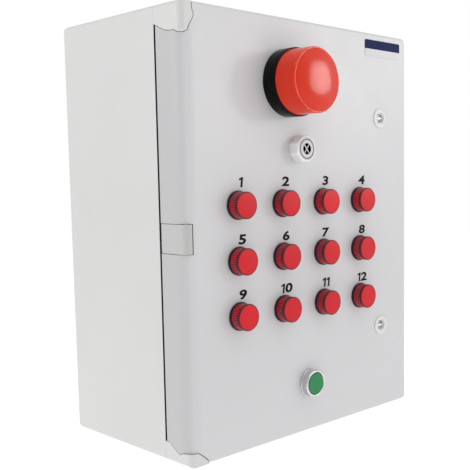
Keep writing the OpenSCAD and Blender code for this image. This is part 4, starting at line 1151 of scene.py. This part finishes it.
class PANEL_OT_stage(bpy.types.Operator):
    """Floor, soft light and camera."""

    bl_idname = "alarm_panel.stage"
    bl_label = "Stage"

    def execute(self, context):
        looks = context.scene.panel_stage
        self.make_floor(looks)
        self.make_light(context.scene, looks)
        self.make_camera(context.scene)
        context.scene.view_settings.view_transform = "Standard"
        return {"FINISHED"}

    def make_floor(self, looks):
        """Wide plain floor under the object."""
        bm = bmesh.new()
        bmesh.ops.create_grid(bm, x_segments=8, y_segments=8, size=6.0)
        bmesh.ops.translate(bm, verts=bm.verts, vec=(0, 0, CAD_BOX[0].z - looks.drop))
        mesh = bpy.data.meshes.new("floor")
        bm.to_mesh(mesh)
        bm.free()
        mesh.materials.append(moulded("floor_paint", looks.floor, 0.8, 40.0, 0.1 * MM, tones=0.006, dust=0.0,
                                      Emission_Color=(1, 1, 1, 1), Emission_Strength=looks.lift))
        floor = bpy.data.objects.new("floor", mesh)
        bpy.context.scene.collection.objects.link(floor)

    def softbox(self, name, power, size, at, aim=(0, -0.1, 0)):
        """A square area light that faces a point."""
        data = bpy.data.lights.new(name, "AREA")
        data.energy = power
        data.size = size
        lamp = bpy.data.objects.new(name, data)
        lamp.location = at
        lamp.rotation_euler = (Vector(at) - Vector(aim)).to_track_quat("Z", "Y").to_euler()
        bpy.context.scene.collection.objects.link(lamp)
        return lamp

    def make_light(self, scene, looks):
        """Even white surroundings, three softboxes and one small one that only gives highlights."""
        self.softbox("side_softbox", looks.side, 1.4, (-1.5, 0.5, 0.8))
        self.softbox("front_softbox", looks.front, 2.0, (1.7, -1.4, 0.7))
        self.softbox("top_softbox", looks.top, 1.8, (0.1, -0.7, 1.7))
        gleam_size = 0.26
        gleam = self.softbox("gleam_softbox", looks.gleam, gleam_size, (1.2, -1.35, 0.38))
        gleam.visible_diffuse = False
        world = bpy.data.worlds.new("studio")
        world.use_nodes = True
        tree = world.node_tree
        tree.nodes.clear()
        seen = node(tree, "Background", Color=(1, 1, 1, 1), Strength=1.0)
        even = node(tree, "Background", Color=(1, 1, 1, 1), Strength=looks.ambient)
        mix = node(tree, "MixShader")
        tree.links.new(node(tree, "LightPath").outputs["Is Camera Ray"], mix.inputs[0])
        tree.links.new(even.outputs[0], mix.inputs[1])
        tree.links.new(seen.outputs[0], mix.inputs[2])
        tree.links.new(mix.outputs[0], node(tree, "OutputWorld").inputs["Surface"])
        scene.world = world

    def make_camera(self, scene):
        """Camera level with the middle of the case, off its hinge-side corner."""
        yaw, pitch, roll = (math.radians(a) for a in (46.29, 5.40, 0.72))
        forward = Vector((math.sin(yaw) * math.cos(pitch), math.cos(yaw) * math.cos(pitch), -math.sin(pitch)))
        right = Vector((math.cos(yaw), -math.sin(yaw), 0))
        up = right.cross(forward)
        across = right * math.cos(roll) - up * math.sin(roll)
        upright = right * math.sin(roll) + up * math.cos(roll)
        turn = Matrix((across, upright, -forward)).transposed().to_4x4()
        data = bpy.data.cameras.new("camera")
        data.lens = 62.43
        data.sensor_width = 36.0
        data.shift_x = -0.1586
        data.shift_y = 0.0366
        camera = bpy.data.objects.new("camera", data)
        camera.matrix_world = Matrix.Translation((-0.6205, -0.7917, 0.0575)) @ turn
        scene.collection.objects.link(camera)
        scene.camera = camera


# ---- Panel and registration -------------------------------------------------


OPERATORS = (PANEL_OT_case, PANEL_OT_beacon, PANEL_OT_sounder, PANEL_OT_lamps, PANEL_OT_numerals,
             PANEL_OT_button, PANEL_OT_locks, PANEL_OT_label, PANEL_OT_inside, PANEL_OT_stage)


class PANEL_PT_pieces(bpy.types.Panel):
    """Lists the groups of pieces and what can be set on them."""

    bl_idname = "PANEL_PT_pieces"
    bl_label = "Alarm panel"
    bl_space_type = "VIEW_3D"
    bl_region_type = "UI"
    bl_category = "Alarm panel"

    def draw(self, context):
        for operator in OPERATORS:
            self.layout.operator(operator.bl_idname)
        for name, group in GROUPS.items():
            box = self.layout.box()
            for key in group.__annotations__:
                box.prop(getattr(context.scene, name), key)


CLASSES = (*GROUPS.values(), *OPERATORS, PANEL_PT_pieces)


def register():
    """Registers the classes and hangs the property groups on the scene."""
    for made in CLASSES:
        bpy.utils.register_class(made)
    for name, group in GROUPS.items():
        setattr(bpy.types.Scene, name, PointerProperty(type=group))


def unregister():
    """Takes back what register() did."""
    for name in GROUPS:
        delattr(bpy.types.Scene, name)
    for made in reversed(CLASSES):
        bpy.utils.unregister_class(made)


def main():
    """Builds every piece."""
    register()
    FINISH.update(finishes())
    for operator in OPERATORS:
        group, name = operator.bl_idname.split(".")
        getattr(getattr(bpy.ops, group), name)()


if __name__ == "__main__":
    main()
